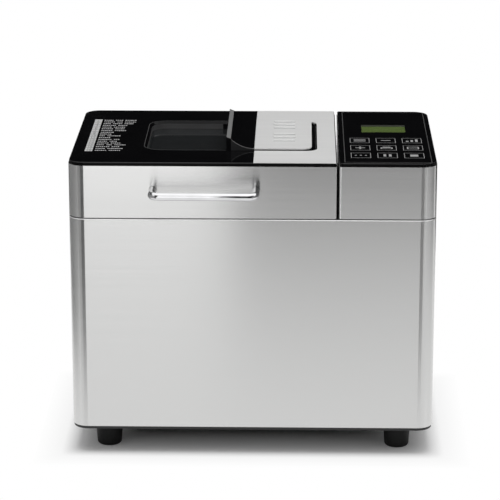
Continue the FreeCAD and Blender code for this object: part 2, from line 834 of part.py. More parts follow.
def make_pan_clips():
    body = new_body("pan_clips")
    for side in (-1, 1):
        near, far, tip, tip_far, foot = (
            f"oven_x + {side} * (skirt_diameter / 2 + fit + {reach})"
            for reach in ("0", "sheet", "3 * sheet", "4 * sheet", "clip_foot"))
        bend, crest = "chamber_floor + clip_bend", "chamber_floor + clip_height"
        prism(body, "XZ", "oven_y - clip_width / 2", "oven_y + clip_width / 2", outline(
            (foot, "chamber_floor"), (near, "chamber_floor"), (near, bend), (tip, crest), (tip_far, crest),
            (far, bend), (far, "chamber_floor + sheet"), (foot, "chamber_floor + sheet")))


def make_bearing_housing():
    body = new_body("bearing_housing")
    turned(body, "oven_x", "oven_y", outline(
        ("bush_diameter / 2 + fit / 10", "housing_bottom"), ("barrel_diameter / 2", "housing_bottom"),
        ("barrel_diameter / 2", "chassis_bottom - flange_thick"),
        ("housing_flange / 2", "chassis_bottom - flange_thick"), ("housing_flange / 2", "chassis_bottom"),
        ("barrel_diameter / 2", "chassis_bottom"), ("barrel_diameter / 2", "housing_top"),
        ("bush_diameter / 2 + fit / 10", "housing_top")))
    rib = fin(body, "oven_x", "oven_y", "rib_width", outline(
        ("barrel_diameter / 2 - fit", "housing_bottom + flange_thick"),
        ("housing_flange / 2 - rib_width", "chassis_bottom - flange_thick"),
        ("barrel_diameter / 2 - fit", "chassis_bottom - flange_thick")))
    around(body, rib, "V_Axis", "housing_ribs")


def make_shaft_bushes():
    body = new_body("shaft_bushes")
    for low, high in (("housing_bottom", "housing_bottom + bush_length"),
                      ("housing_top - bush_length", "housing_top")):
        prism(body, "XY", low, high, ring("oven_x", "oven_y", "bush_diameter"),
              ring("oven_x", "oven_y", "shaft_diameter + 2 * running"))


def make_drive_shaft():
    body = new_body("drive_shaft")
    prism(body, "XY", "pulley_bottom - gap", "dog_top - gap", ring("oven_x", "oven_y", "shaft_diameter"))


def ribbed_edge(radius):
    """Points of a row of vee grooves, upwards, at a radius and about the belt's middle height."""
    points = []
    for half in range(2 * int(number("belt_ribs")) + 1):
        depth = "groove_depth" if half % 2 else "0"
        points.append((f"{radius} - {depth}", f"belt_z + ({half} - belt_ribs) * rib_pitch / 2"))
    return points


def make_drive_pulley():
    body = new_body("drive_pulley")
    bore, hub = "shaft_diameter / 2 + running", "pulley_hub / 2"
    rim_out, rim_in = "pulley_diameter / 2", "pulley_diameter / 2 - rim_thick"
    web_low, web_high = "belt_z - web_thick / 2", "belt_z + web_thick / 2"
    turned(body, "oven_x", "oven_y", outline(
        (bore, "pulley_bottom"), (hub, "pulley_bottom"), (hub, web_low), (rim_in, web_low),
        (rim_in, "pulley_bottom"), (rim_out, "pulley_bottom"), *ribbed_edge(rim_out),
        (rim_out, "pulley_top"), (rim_in, "pulley_top"), (rim_in, web_high), (hub, web_high),
        (hub, "pulley_top"), (bore, "pulley_top")))
    hole = prism(body, "XY", "pulley_bottom", "pulley_top",
                 ring("(pulley_diameter / 2 - rim_thick + pulley_hub / 2) / 2", "0", "web_hole"), cut=True,
                 origin=("oven_x", "oven_y"))
    around(body, hole, "N_Axis", "web_holes")


def make_motor_pulley():
    body = new_body("motor_pulley")
    bore, rim = "motor_shaft / 2 + running", "motor_pulley_diameter / 2"
    turned(body, "motor_x", "oven_y", outline(
        (bore, "pulley_bottom"), (rim, "pulley_bottom"), *ribbed_edge(rim),
        (rim, "pulley_top"), (bore, "pulley_top")))


def belt_path(sketch):
    """Two arcs about the pulleys, the larger one in two halves, and the tangent runs between them."""
    big, small = "pulley_diameter / 2 + belt_gap", "motor_pulley_diameter / 2 + belt_gap"
    middle, far = point("oven_x", "oven_y"), point("motor_x", "oven_y")
    lean = math.asin((number(big) - number(small)) / (far.x - middle.x))
    up = FreeCAD.Vector(math.sin(lean), math.cos(lean), 0)
    down = FreeCAD.Vector(up.x, -up.y, 0)
    end = middle - FreeCAD.Vector(number(big), 0, 0)
    spots = [end, middle + down * number(big), far + down * number(small),
             far + up * number(small), middle + up * number(big)]
    sides = [arc_between(spots[0], spots[1], middle, True)[0], Part.LineSegment(spots[1], spots[2]),
             arc_between(spots[2], spots[3], far, True)[0], Part.LineSegment(spots[3], spots[4]),
             arc_between(spots[4], spots[0], middle, True)[0]]
    for side in sides:
        sketch.addGeometry(side)
    for index, x, radius in ((0, "oven_x", big), (2, "motor_x", small), (4, "oven_x", big)):
        hold(sketch, "DistanceX", index, 3, x)
        hold(sketch, "DistanceY", index, 3, "oven_y")
        hold(sketch, "Radius", index, 0, radius)
    for index in range(4):
        sketch.addConstraint(Sketcher.Constraint("Tangent", index, 2, index + 1, 1))
    hold(sketch, "DistanceY", 0, 1, "oven_y")
    hold(sketch, "DistanceY", 4, 2, "oven_y")


def make_drive_belt():
    body = new_body("drive_belt")
    inner = "pulley_diameter / 2 + belt_gap"
    back = f"-({inner} + belt_back)"
    teeth = [(f"-({radius})", height) for radius, height in ribbed_edge(inner)]
    path = sketch_in(body, "XY", "belt_z", [belt_path])
    section = sketch_in(body, "XZ", "oven_y", [outline((back, teeth[0][1]), *teeth, (back, teeth[-1][1]))],
                        origin=("oven_x", "0"))
    swept(body, path, section)


def make_drive_dog():
    body = new_body("drive_dog")
    prism(body, "XY", "dog_bottom", "dog_top", ring("oven_x", "oven_y", "dog_diameter"),
          ring("oven_x", "oven_y", "shaft_diameter + 2 * running"))
    for side in (-1, 1):
        near_x, far_x = (f"oven_x + {side} * ({x})" for x in ("wing_thick / 2", "wing_thick / 2 + dog_lug"))
        near_y, far_y = (f"oven_y + {side} * (wing_thick / 2 + gap + {y})" for y in ("0", "dog_lug"))
        prism(body, "XY", "dog_top - gap", "dog_top + dog_lug_height",
              box(near_x, far_x, near_y, far_y, "edge_round"))


def flat_ring(diameter, margin):
    """A shaft's section with its flat, about the oven's middle, grown by a margin."""
    radius = f"(({diameter}) / 2 + {margin})"
    flat = f"(({diameter}) / 2 - shaft_flat + {margin})"
    half = f"sqrt({radius} ^ 2 - {flat} ^ 2)"
    return outline((f"oven_x - {half}", f"oven_y + {flat}"), (f"oven_x + {half}", f"oven_y + {flat}"),
                   ("oven_x", f"oven_y - {radius}"), arcs={1: f"-{radius}", 2: f"-{radius}"})


def make_pan_shaft():
    body = new_body("pan_shaft")
    prism(body, "XY", "pan_shaft_bottom", "paddle_bottom", ring("oven_x", "oven_y", "pan_shaft_diameter"))
    prism(body, "XY", "paddle_bottom", "paddle_top", flat_ring("pan_shaft_diameter", "0"))
    prism(body, "XY", "pan_shaft_bottom", "pan_shaft_bottom + wing_height", box(
        "oven_x - wing_length / 2", "oven_x + wing_length / 2",
        "oven_y - wing_thick / 2", "oven_y + wing_thick / 2", "wing_thick / 2 - fit"))


def make_kneading_paddle():
    body = new_body("kneading_paddle")
    turned(body, "oven_x", "oven_y", outline(
        ("0", "paddle_bottom"), ("paddle_hub / 2", "paddle_bottom"),
        ("paddle_hub / 2 - edge_round", "paddle_top"), ("0", "paddle_top")))
    root, tip = "pan_shaft_diameter / 2 + edge_round", "paddle_reach"
    fin(body, "oven_x", "oven_y", "paddle_thick", outline(
        (root, "paddle_bottom"), (f"{tip} - paddle_thick", "paddle_bottom"),
        (tip, "paddle_bottom + paddle_thick"), ("paddle_hub", "paddle_top - paddle_thick"),
        (root, "paddle_top - paddle_thick"), arcs={1: "paddle_thick", 2: "paddle_reach"}))
    prism(body, "XY", "paddle_bottom - gap", "paddle_top + gap",
          flat_ring("pan_shaft_diameter", "running"), cut=True)


def make_pan_bush():
    body = new_body("pan_bush")
    bore, sleeve = "pan_shaft_diameter / 2 + running", "pan_bush_diameter / 2"
    floor = "pan_bottom + pan_wall"
    turned(body, "oven_x", "oven_y", outline(
        (bore, "pan_bottom - pan_bush_drop"), (sleeve, "pan_bottom - pan_bush_drop"), (sleeve, floor),
        ("pan_bush_flange / 2", floor), ("pan_bush_flange / 2", f"{floor} + pan_bush_rise"),
        (bore, f"{floor} + pan_bush_rise")))


def pan_section(body, height, margin):
    """The pan's plan at a height, grown by a margin. The walls lean out by the draft from floor to rim."""
    lean = f"pan_draft * (pan_top - ({height})) / pan_height"
    return sketch_in(body, "XY", height, [oven_box(
        f"pan_top_width + 2 * ({margin}) - 2 * {lean}", f"pan_top_length + 2 * ({margin}) - 2 * {lean}",
        f"pan_radius + ({margin})")])


def lofted(body, kind, low, high):
    feature = body.newObject("PartDesign::" + kind, "Walls")
    feature.Profile = low
    feature.Sections = [high]
    return feature


def make_bread_pan():
    body = new_body("bread_pan")
    lofted(body, "AdditiveLoft", pan_section(body, "pan_bottom", "0"), pan_section(body, "pan_top", "0"))
    prism(body, "XY", "pan_top - pan_wall", "pan_top", oven_box(
        "pan_top_width + 2 * pan_rim", "pan_top_length + 2 * pan_rim", "pan_radius + pan_rim"))
    lofted(body, "SubtractiveLoft", pan_section(body, "pan_bottom + pan_wall", "-pan_wall"),
           pan_section(body, "pan_top", "-pan_wall"))
    prism(body, "XY", "chamber_floor", "pan_bottom + running", ring("oven_x", "oven_y", "skirt_diameter"),
          ring("oven_x", "oven_y", "skirt_diameter - 2 * plastic"))
    prism(body, "XY", "pan_bottom - pan_wall", "pan_bottom + 2 * pan_wall",
          ring("oven_x", "oven_y", "pan_bush_diameter + fit / 5"), cut=True)
    for low, high in (("oven_x - bail_x - bail_rod", "oven_x - pan_top_width / 2 + pan_wall"),
                      ("oven_x + pan_top_width / 2 - pan_wall", "oven_x + bail_x + bail_rod")):
        prism(body, "YZ", low, high, ring("oven_y", "stud_z", "stud_diameter"))


def make_pan_bail():
    body = new_body("pan_bail")
    left_arm, right_arm, bar = "oven_x - bail_x", "oven_x + bail_x", "oven_y - bail_reach"
    root = "oven_y - (bail_eye + stud_diameter + 2 * gap) / 4"
    path = sketch_in(body, "XY", "stud_z", [bent(
        [(left_arm, root), (left_arm, bar), (right_arm, bar), (right_arm, root)],
        ["", "bail_bend", "bail_bend", ""], closed=False)])
    section = sketch_in(body, "XZ", root, [ring(left_arm, "stud_z", "bail_rod")])
    swept(body, path, section)
    for x in (left_arm, right_arm):
        prism(body, "YZ", f"{x} - bail_eye_thick / 2", f"{x} + bail_eye_thick / 2",
              ring("oven_y", "stud_z", "bail_eye"))
        prism(body, "YZ", f"{x} - bail_rod", f"{x} + bail_rod",
              ring("oven_y", "stud_z", "stud_diameter + 2 * gap"), cut=True)


def motor_box(margin):
    """The motor's square outline, moved in by a margin."""
    half = f"(motor_side / 2 - ({margin}))"
    return box(f"motor_x - {half}", f"motor_x + {half}", f"oven_y - {half}", f"oven_y + {half}",
               f"motor_corner - ({margin})")


def make_motor_core():
    body = new_body("motor_core")
    bore = "rotor_diameter + 2 * air_gap"
    prism(body, "XY", "core_bottom", "core_top", motor_box("0"), ring("motor_x", "oven_y", bore))
    slot = prism(body, "XY", "core_bottom", "core_top", box(
        "rotor_diameter / 2 - air_gap", "rotor_diameter / 2 + winding_width",
        "-slot_width / 2", "slot_width / 2"), cut=True, origin=("motor_x", "oven_y"))
    around(body, slot, "N_Axis", "stator_slots")


def make_motor_windings():
    body = new_body("motor_windings")
    inner = "rotor_diameter + 6 * air_gap"
    for low, high in (("core_bottom - winding_height", "core_bottom"),
                      ("core_top", "core_top + winding_height")):
        prism(body, "XY", low, high, ring("motor_x", "oven_y", f"{inner} + 2 * winding_width"),
              ring("motor_x", "oven_y", inner))
    eased(body, "winding_width / 4", lambda edge: level_at("core_bottom - winding_height")(edge)
          or level_at("core_top + winding_height")(edge))


def make_motor_brackets():
    body = new_body("motor_brackets")
    shells = (("bracket_bottom", "core_bottom", "bracket_bottom + bracket_wall", "core_bottom"),
              ("core_top", "bracket_top", "core_top", "bracket_top - bracket_wall"))
    for low, high, hollow_low, hollow_high in shells:
        prism(body, "XY", low, high, motor_box("0"))
        prism(body, "XY", hollow_low, hollow_high, motor_box("bracket_wall"), cut=True)
        prism(body, "XY", low, high, ring("motor_x", "oven_y", "motor_shaft + 2 * running"), cut=True)
    for side in (-1, 1):
        for end in (-1, 1):
            prism(body, "XY", "chassis_top", "bracket_bottom + bracket_wall", ring(
                f"motor_x + {side} * (motor_side - leg_diameter - bracket_wall) / 2",
                f"oven_y + {end} * (motor_side - leg_diameter - bracket_wall) / 2", "leg_diameter"))


def make_motor_rotor():
    body = new_body("motor_rotor")
    turned(body, "motor_x", "oven_y", outline(
        ("0", "pulley_bottom - gap"), ("motor_shaft / 2", "pulley_bottom - gap"),
        ("motor_shaft / 2", "core_bottom - bracket_wall"),
        ("rotor_diameter / 2", "core_bottom - bracket_wall"),
        ("rotor_diameter / 2", "core_top + bracket_wall"), ("motor_shaft / 2", "core_top + bracket_wall"),
        ("motor_shaft / 2", "bracket_top + bracket_wall"), ("0", "bracket_top + bracket_wall")))


def make_power_board():
    body = new_body("power_board")
    middle, face = "((panel_left + right - steel) / 2)", "(deck_bottom - power_board_drop)"
    prism(body, "XY", f"{face} - board_thick", face, box(
        f"{middle} - power_board_width / 2", f"{middle} + power_board_width / 2",
        "oven_y - power_board_length / 2", "oven_y + power_board_length / 2"))
    under = f"{face} - board_thick"
    for shift in (-1, 0, 1):
        prism(body, "XY", f"{under} - relay_height", under, box(
            f"{middle} + {shift} * relay_pitch - relay_height / 2",
            f"{middle} + {shift} * relay_pitch + relay_height / 2",
            "oven_y - relay_height", "oven_y + relay_height", "edge_round"))
    prism(body, "XY", f"{under} - relay_height", under,
          ring(middle, "oven_y + 2 * relay_height", "relay_height"))


def panel_box(margin):
    """The control housing's outline, moved in by a margin."""
    return case_box(margin, radius_left="inner_corner", x_low="panel_left")


def lid_box(margin):
    """The lid's outline, moved in by a margin."""
    return case_box(margin, radius_right="inner_corner", x_high="lid_right")


def inset_box(margin, radius):
    """A rectangle inside the control housing's outline."""
    return box(f"panel_left + {margin}", f"right - ({margin})",
               f"front + {margin}", f"rear - ({margin})", radius)


def make_control_band():
    body = new_body("control_band")
    prism(body, "XY", "lid_bottom", "band_top", panel_box("0"), panel_box("steel"))


board_posts = [(x, y) for x in ("panel_left + post_inset", "right - post_inset")
               for y in ("front + board_front + post_diameter / 2", "rear - board_front - post_diameter / 2")]
deck_posts = [(x, y) for x in ("panel_left + post_inset", "right - post_inset")
              for y in ("front + post_inset", "rear - post_inset")]


def make_control_frame():
    body = new_body("control_frame")
    prism(body, "XY", "band_top", "top", panel_box("frame_inset"))
    eased(body, "edge_round", level_at("top"))
    prism(body, "XY", "band_top - frame_skirt", "band_top",
          panel_box("inner"), panel_box("inner + frame_wall"))
    prism(body, "XY", "panel_bottom", "top", inset_box("panel_margin", "panel_radius"), cut=True)
    prism(body, "XY", "band_top", "top", inset_box("panel_margin + panel_ledge", "edge_round"), cut=True)
    for x, y in board_posts:
        prism(body, "XY", "board_top", "band_top + gap", ring(x, y, "post_diameter"))
    for x, y in deck_posts:
        prism(body, "XY", "wrap_top", "band_top + gap", ring(x, y, "post_diameter"))


def key_middle(column, row):
    return (f"panel_left + key_first_x + {column} * key_pitch_x",
            f"front + key_first_y + {row} * key_pitch_y")


def key_box(column, row, margin):
    """The outline of one key, grown by a margin."""
    x, y = key_middle(column, row)
    return box(f"{x} - key_width / 2 - ({margin})", f"{x} + key_width / 2 + {margin}",
               f"{y} - key_length / 2 - ({margin})", f"{y} + key_length / 2 + {margin}",
               f"key_radius + {margin}")


def display_box(margin):
    """The display's outline, grown by a margin."""
    return box(f"panel_left + display_x - display_width / 2 - ({margin})",
               f"panel_left + display_x + display_width / 2 + {margin}",
               f"front + display_y - display_length / 2 - ({margin})",
               f"front + display_y + display_length / 2 + {margin}", "edge_round")


key_grid = [(column, row) for row in (2, 1, 0) for column in (0, 1, 2)]


def make_key_panel():
    body = new_body("key_panel")
    prism(body, "XY", "panel_bottom", "top", inset_box("panel_margin + fit", "panel_radius"))
    prism(body, "XY", "panel_bottom", "top", *[key_box(*spot, "key_gap") for spot in key_grid], cut=True)
    prism(body, "XY", "panel_bottom", "top", display_box("0"), cut=True)


def make_keys():
    for count, spot in enumerate(key_grid, start=1):
        body = new_body(f"key_{count}")
        flange_top = "panel_bottom - gap"
        prism(body, "XY", flange_top, "top + key_proud", key_box(*spot, "0"))
        prism(body, "XY", f"{flange_top} - key_flange_thick", flange_top, key_box(*spot, "key_flange"))
        prism(body, "XY", "switch_top + key_travel + gap", f"{flange_top} - key_flange_thick",
              ring(*key_middle(*spot), "key_stem"))
        eased(body, "key_proud", level_at("top + key_proud"))


def make_display_lens():
    body = new_body("display_lens")
    prism(body, "XY", "panel_bottom", "top - lens_sink", display_box("-fit"))
    prism(body, "XY", "panel_bottom - lens_flange", "panel_bottom", display_box("lens_lap"))


def make_display_module():
    body = new_body("display_module")
    prism(body, "XY", "board_top", "panel_bottom - lens_flange", display_box("lens_lap"))


def make_control_board():
    body = new_body("control_board")
    prism(body, "XY", "board_top - board_thick", "board_top", box(
        "panel_left + board_side", "right - board_side", "front + board_front", "rear - board_front"))
    for spot in key_grid:
        x, y = key_middle(*spot)
        prism(body, "XY", "board_top", "board_top + switch_body", box(
            f"{x} - switch_side / 2", f"{x} + switch_side / 2",
            f"{y} - switch_side / 2", f"{y} + switch_side / 2"))
        prism(body, "XY", "board_top", "switch_top", ring(x, y, "switch_plunger"))


def clear_hinge(body):
    """Opens the back of a lid piece for the hinge ears."""
    for x in ear_places:
        prism(body, "YZ", f"{x} - ear_width / 2 - 2 * gap", f"{x} + ear_width / 2 + 2 * gap",
              ring("hinge_y", "hinge_z", "2 * ear_sweep"), cut=True)


def relieve_back(body):
    """Takes away the low back edge of a lid piece, which would dip into the body as the lid opens."""
    prism(body, "YZ", "left - steel", "lid_right + steel",
          box("hinge_y", "rear + steel", "lid_bottom - steel", "hinge_z"), cut=True)


handle_legs = ("oven_x + handle_shift - handle_span / 2", "oven_x + handle_shift + handle_span / 2")


def make_lid_band():
    body = new_body("lid_band")
    prism(body, "XY", "lid_bottom", "band_top", lid_box("0"), lid_box("steel"))
    relieve_back(body)
    clear_hinge(body)
    for x in handle_legs:
        prism(body, "XZ", "front - steel", "front + 2 * steel",
              ring(x, "handle_z", "handle_rod + 2 * fit"), cut=True)


def make_lid_frame():
    body = new_body("lid_frame")
    prism(body, "XY", "lid_frame_bottom", "band_top", lid_box("inner"), lid_box("inner + frame_wall"))
    prism(body, "XY", "lid_frame_bottom", "lid_floor_top", lid_box("inner"),
          oven_box("chamber_width", "chamber_length", "chamber_radius"))
    prism(body, "XY", "lid_frame_bottom", "lid_frame_bottom + seal_depth",
          seal_ring("seal_width", "fit / 2"), seal_ring("0", "-fit / 2"), cut=True)
    relieve_back(body)
    prism(body, "YZ", "left + corner_radius", "lid_right - inner_corner - inner",
          ring("hinge_y", "hinge_z", "2 * barrel_radius"))
    clear_hinge(body)
    for x in ear_places:
        prism(body, "YZ", f"{x} - hinge_pin_length / 2", f"{x} + hinge_pin_length / 2",
              ring("hinge_y", "hinge_z", "hinge_pin + 2 * running"), cut=True)
    for x in handle_legs:
        prism(body, "XZ", "front + inner", "front + inner + handle_boss_depth",
              ring(x, "handle_z", "handle_boss"))
        prism(body, "XZ", "front", "front + inner + handle_grip",
              ring(x, "handle_z", "handle_rod + 2 * running"), cut=True)


def seal_ring(reach, margin):
    """A loop round the oven's mouth for the lid's seal."""
    grow = f"(seal_inset + {reach} + {margin})"
    return oven_box(f"chamber_width + 2 * {grow}", f"chamber_length + 2 * {grow}", f"chamber_radius + {grow}")


def make_lid_seal():
    body = new_body("lid_seal")
    prism(body, "XY", "wrap_top + seal_lift", "lid_frame_bottom + seal_depth", seal_ring("seal_width", "0"),
          seal_ring("0", "0"))


def window_box(margin):
    """The lid window's outline, grown by a margin."""
    return box(f"window_left - ({margin})", f"window_right + {margin}",
               f"window_y - window_length / 2 - ({margin})", f"window_y + window_length / 2 + {margin}",
               f"window_radius + {margin}")


def at_window(edge):
    """Picks edges on the rim of the lid's window."""
    middle = edge.CenterOfMass
    aside = abs(middle.x - number("(window_left + window_right) / 2"))
    along = abs(middle.y - number("window_y"))
    half_width, half_length = number("(window_right - window_left) / 2"), number("window_length / 2")
    return aside < half_width + number("gap") and along < half_length + number("gap")


def hopper_box(margin):
    """The dispenser hopper's outline, grown by a margin."""
    return box(f"hopper_left - ({margin})", f"hopper_right + {margin}",
               f"hopper_front - ({margin})", f"hopper_back + {margin}", f"hopper_radius + {margin}")


def make_lid_liner():
    body = new_body("lid_liner")
    wide, long = "chamber_width - 2 * liner_inset", "chamber_length - 2 * liner_inset"
    prism(body, "XY", "lid_floor_top", "lid_floor_top + sheet", oven_box(
        "chamber_width + 2 * liner_lap", "chamber_length + 2 * liner_lap", "chamber_radius + liner_lap"))
    prism(body, "XY", "lid_floor_top", "liner_top", oven_box(
        f"{wide} + 2 * sheet", f"{long} + 2 * sheet", "chamber_radius + sheet"))
    eased(body, "liner_round + sheet", level_at("liner_top"))
    prism(body, "XY", "lid_floor_top", "liner_top - sheet", oven_box(wide, long, "chamber_radius"), cut=True)
    prism(body, "XY", "liner_top - 2 * sheet", "liner_top + sheet", window_box("-glass_ledge"), cut=True)
    prism(body, "XY", "liner_top - 2 * sheet", "liner_top + sheet", box(
        "flap_axis_x - flap_barrel", "hopper_right + flap_room",
        "hopper_front - flap_room", "hopper_back + flap_room", "hopper_radius"), cut=True)


def make_lid_top():
    body = new_body("lid_top")
    prism(body, "XY", "band_top", "top", lid_box("frame_inset"))
    eased(body, "edge_round", level_at("top"))
    prism(body, "XY", "glass_bottom - glass_seat", "band_top", window_box("glass_frame"))
    prism(body, "XY", "band_top - trough_rib", "band_top", box(
        "cover_right - trough_rib", "trough_right + trough_rib", "cover_front - cover_pin_grip - trough_rib",
        "cover_back + cover_pin_grip + trough_rib"))
    prism(body, "XY", "glass_bottom", "top", window_box("0"), cut=True)
    level = level_at("top")
    eased(body, "window_bevel", lambda edge: level(edge) and at_window(edge), kind="Chamfer")
    prism(body, "XY", "glass_bottom - 2 * glass_seat", "glass_top", window_box("-glass_ledge"), cut=True)
    prism(body, "XY", "trim_bottom", "top + gap", box(
        "trim_left", "lid_right - trim_margin", "front + trim_margin", "rear - trim_margin"), cut=True)
    prism(body, "XY", "trim_bottom", "top + gap", box(
        "cover_left - 2 * gap", "trough_right", "cover_front - 2 * gap", "cover_back + 2 * gap"), cut=True)
    prism(body, "XY", "band_top - hopper_depth", "top", hopper_box("-hopper_wall"), cut=True)
    prism(body, "XY", "trough_floor", "top + gap", box(
        "cover_right - 2 * gap", "trough_right", "cover_front - 2 * gap", "cover_back + 2 * gap",
        "", "cover_radius / 2", "cover_radius / 2", ""), cut=True)
    prism(body, "XZ", "cover_front - cover_pin_grip", "cover_back + cover_pin_grip",
          ring("cover_axis_x", "cover_axis_z", "cover_pin + 2 * running"), cut=True)


def make_lid_trim():
    body = new_body("lid_trim")
    prism(body, "XY", "trim_bottom", "top", box(
        "trim_left + running", "lid_right - trim_margin - running",
        "front + trim_margin + running", "rear - trim_margin - running"))
    prism(body, "XY", "trim_bottom", "top", box(
        "trim_left - trim_margin", "trough_right", "cover_front - 2 * gap", "cover_back + 2 * gap",
        "", "cover_radius", "cover_radius", ""), cut=True)


def make_lid_window():
    body = new_body("lid_window")
    prism(body, "XY", "glass_bottom", "glass_top", window_box("-fit"))


def make_lid_handle():
    body = new_body("lid_handle")
    root, bar = "front + inner + handle_grip - gap", "front - handle_reach"
    path = sketch_in(body, "XY", "handle_z", [bent(
        [(handle_legs[0], root), (handle_legs[0], bar), (handle_legs[1], bar), (handle_legs[1], root)],
        ["", "handle_bend", "handle_bend", ""], closed=False)])
    section = sketch_in(body, "XZ", root, [ring(handle_legs[0], "handle_z", "handle_rod")])
    swept(body, path, section)


def make_hinge_pins():
    body = new_body("hinge_pins")
    for x in ear_places:
        prism(body, "YZ", f"{x} - hinge_pin_length / 2 + gap", f"{x} + hinge_pin_length / 2 - gap",
              ring("hinge_y", "hinge_z", "hinge_pin"))


def make_dispenser_hopper():
    body = new_body("dispenser_hopper")
    prism(body, "XY", "hopper_bottom", "band_top", hopper_box("0"))
    prism(body, "XY", "band_top - hopper_wall", "band_top", hopper_box("hopper_flange"))
    for low, high in (("hopper_front", "hopper_front + lug_width"),
                      ("hopper_back - lug_width", "hopper_back")):
        prism(body, "XZ", low, high, ring("flap_axis_x", "flap_axis_z", "lug_round"))
        prism(body, "XZ", low, high, outline(
            ("flap_axis_x - lug_round / 2", "flap_axis_z"), ("flap_axis_x + lug_round / 2", "flap_axis_z"),
            ("hopper_left + hopper_wall / 2", "hopper_bottom + gap"),
            ("hopper_left + hopper_wall / 2", "hopper_bottom + 2 * lug_round")))
        prism(body, "XZ", low, high, ring("flap_axis_x", "flap_axis_z", "flap_pivot + 2 * running"), cut=True)
    prism(body, "XY", "hopper_bottom", "band_top", hopper_box("-hopper_wall"), cut=True)


def make_dispenser_flap():
    body = new_body("dispenser_flap")
    barrel_front, barrel_back = "hopper_front + lug_width + gap", "hopper_back - lug_width - gap"
    prism(body, "XY", "flap_bottom", "flap_top", box(
        "hopper_left + hopper_wall", "hopper_right", "hopper_front", "hopper_back", "hopper_radius"))
    prism(body, "XY", "flap_bottom", "flap_top", box(
        "flap_axis_x", "hopper_left + 3 * hopper_wall", barrel_front, barrel_back))
    prism(body, "XZ", barrel_front, barrel_back, ring("flap_axis_x", "flap_axis_z", "flap_barrel"))
    prism(body, "XZ", "hopper_front - gap - crank_thick", "hopper_back",
          ring("flap_axis_x", "flap_axis_z", "flap_pivot"))
    across, rise = "flap_pivot / 2 * cos(crank_lag)", "flap_pivot / 2 * sin(crank_lag)"
    prism(body, "XZ", "hopper_front - gap - crank_thick", "hopper_front - gap", outline(
        (f"flap_axis_x - {across}", f"flap_axis_z - {rise}"),
        (f"flap_axis_x + {across}", f"flap_axis_z + {rise}"),
        (f"crank_x + {across}", f"crank_z + {rise}"), (f"crank_x - {across}", f"crank_z - {rise}"),
        arcs={0: "crank_round", 2: "crank_round"}))
    prism(body, "XZ", "plunger_y - fork_thick / 2 - gap", "hopper_front - gap",
          ring("crank_x", "crank_z", "crank_pin"))


def make_release_solenoid():
    body = new_body("release_solenoid")
    half = "solenoid_side / 2"
    prism(body, "XY", "liner_top", f"plunger_z + {half}", box(
        "solenoid_left", "solenoid_left + solenoid_length",
        f"plunger_y - {half}", f"plunger_y + {half}", "edge_round"))
    prism(body, "YZ", "solenoid_left", "solenoid_left + solenoid_length - plastic",
          ring("plunger_y", "plunger_z", "plunger_diameter + 2 * running"), cut=True)


def make_solenoid_plunger():
    body = new_body("solenoid_plunger")
    prism(body, "XZ", "plunger_y - fork_thick / 2", "plunger_y + fork_thick / 2", box(
        "crank_x - fork_half", "crank_x + fork_half",
        "plunger_z - fork_half", "plunger_z + fork_half", "edge_round"))
    prism(body, "XZ", "plunger_y - fork_thick", "plunger_y + fork_thick", box(
        "crank_x - crank_pin / 2 - gap", "crank_x + crank_pin / 2 + gap",
        "crank_z - crank_pin / 2 - gap", "flap_axis_z + crank_radius + crank_pin / 2 + gap"), cut=True)
    prism(body, "YZ", "crank_x + fork_half - edge_round", "solenoid_left + plunger_grip",
          ring("plunger_y", "plunger_z", "plunger_diameter"))


def make_dispenser_cover():
    body = new_body("dispenser_cover")
    lip = "top + cover_rise"
    prism(body, "XZ", "cover_front", "cover_back", outline(
        ("cover_left", "cover_bottom"), ("cover_right", "cover_bottom"), ("cover_right", "cover_floor"),
        ("trim_left", "cover_floor"), ("trim_left", "cover_top"),
        ("cover_left + lip_width", f"{lip} - lip_fall"), ("cover_left", lip), arcs={4: "-curl_radius"}))
    eased(body, "cover_radius", lambda edge: abs(edge.BoundBox.XMin - number("cover_right")) < 1e-4
          and edge.BoundBox.YLength < 1e-4 and edge.BoundBox.ZLength > 1e-4)
    knuckle = ("cover_front + cover_radius + cover_pin", "cover_back - cover_radius - cover_pin")
    prism(body, "XZ", *knuckle, ring("cover_axis_x", "cover_axis_z", "cover_barrel"))
    web_top = "cover_bottom + cover_thick / 3"
    near, far = "cover_axis_x - cover_pin / 2", "cover_axis_x + cover_pin / 2"
    prism(body, "XZ", *knuckle, box("cover_right - cover_pin", far, "cover_bottom", web_top))
    prism(body, "XZ", *knuckle, box(near, far, "cover_axis_z", web_top))
    prism(body, "XZ", "cover_front", "cover_back",
          ring("cover_axis_x", "cover_axis_z", "cover_pin + 2 * running"), cut=True)


def make_cover_plate():
    body = new_body("cover_plate")
    prism(body, "XY", "cover_floor", "cover_top", box(
        "trim_left + running", "cover_right", "cover_front", "cover_back",
        "", "cover_radius", "cover_radius", ""))
    for group in range(int(number("rib_groups"))):
        for step in range(int(number("ribs"))):
            middle = f"front + rib_first + {group} * rib_group + {step} * rib_step"
            prism(body, "XY", "cover_top - gap", "cover_top + rib_height", box(
                "trim_left + rib_left", "trim_left + rib_left + rib_length",
                f"{middle} - rib_breadth / 2", f"{middle} + rib_breadth / 2", "rib_breadth / 2 - running"))
    eased(body, "rib_round", level_at("cover_top + rib_height"))


def make_cover_pin():
    body = new_body("cover_pin")
    prism(body, "XZ", "cover_front - cover_pin_grip + gap", "cover_back + cover_pin_grip - gap",
          ring("cover_axis_x", "cover_axis_z", "cover_pin"))


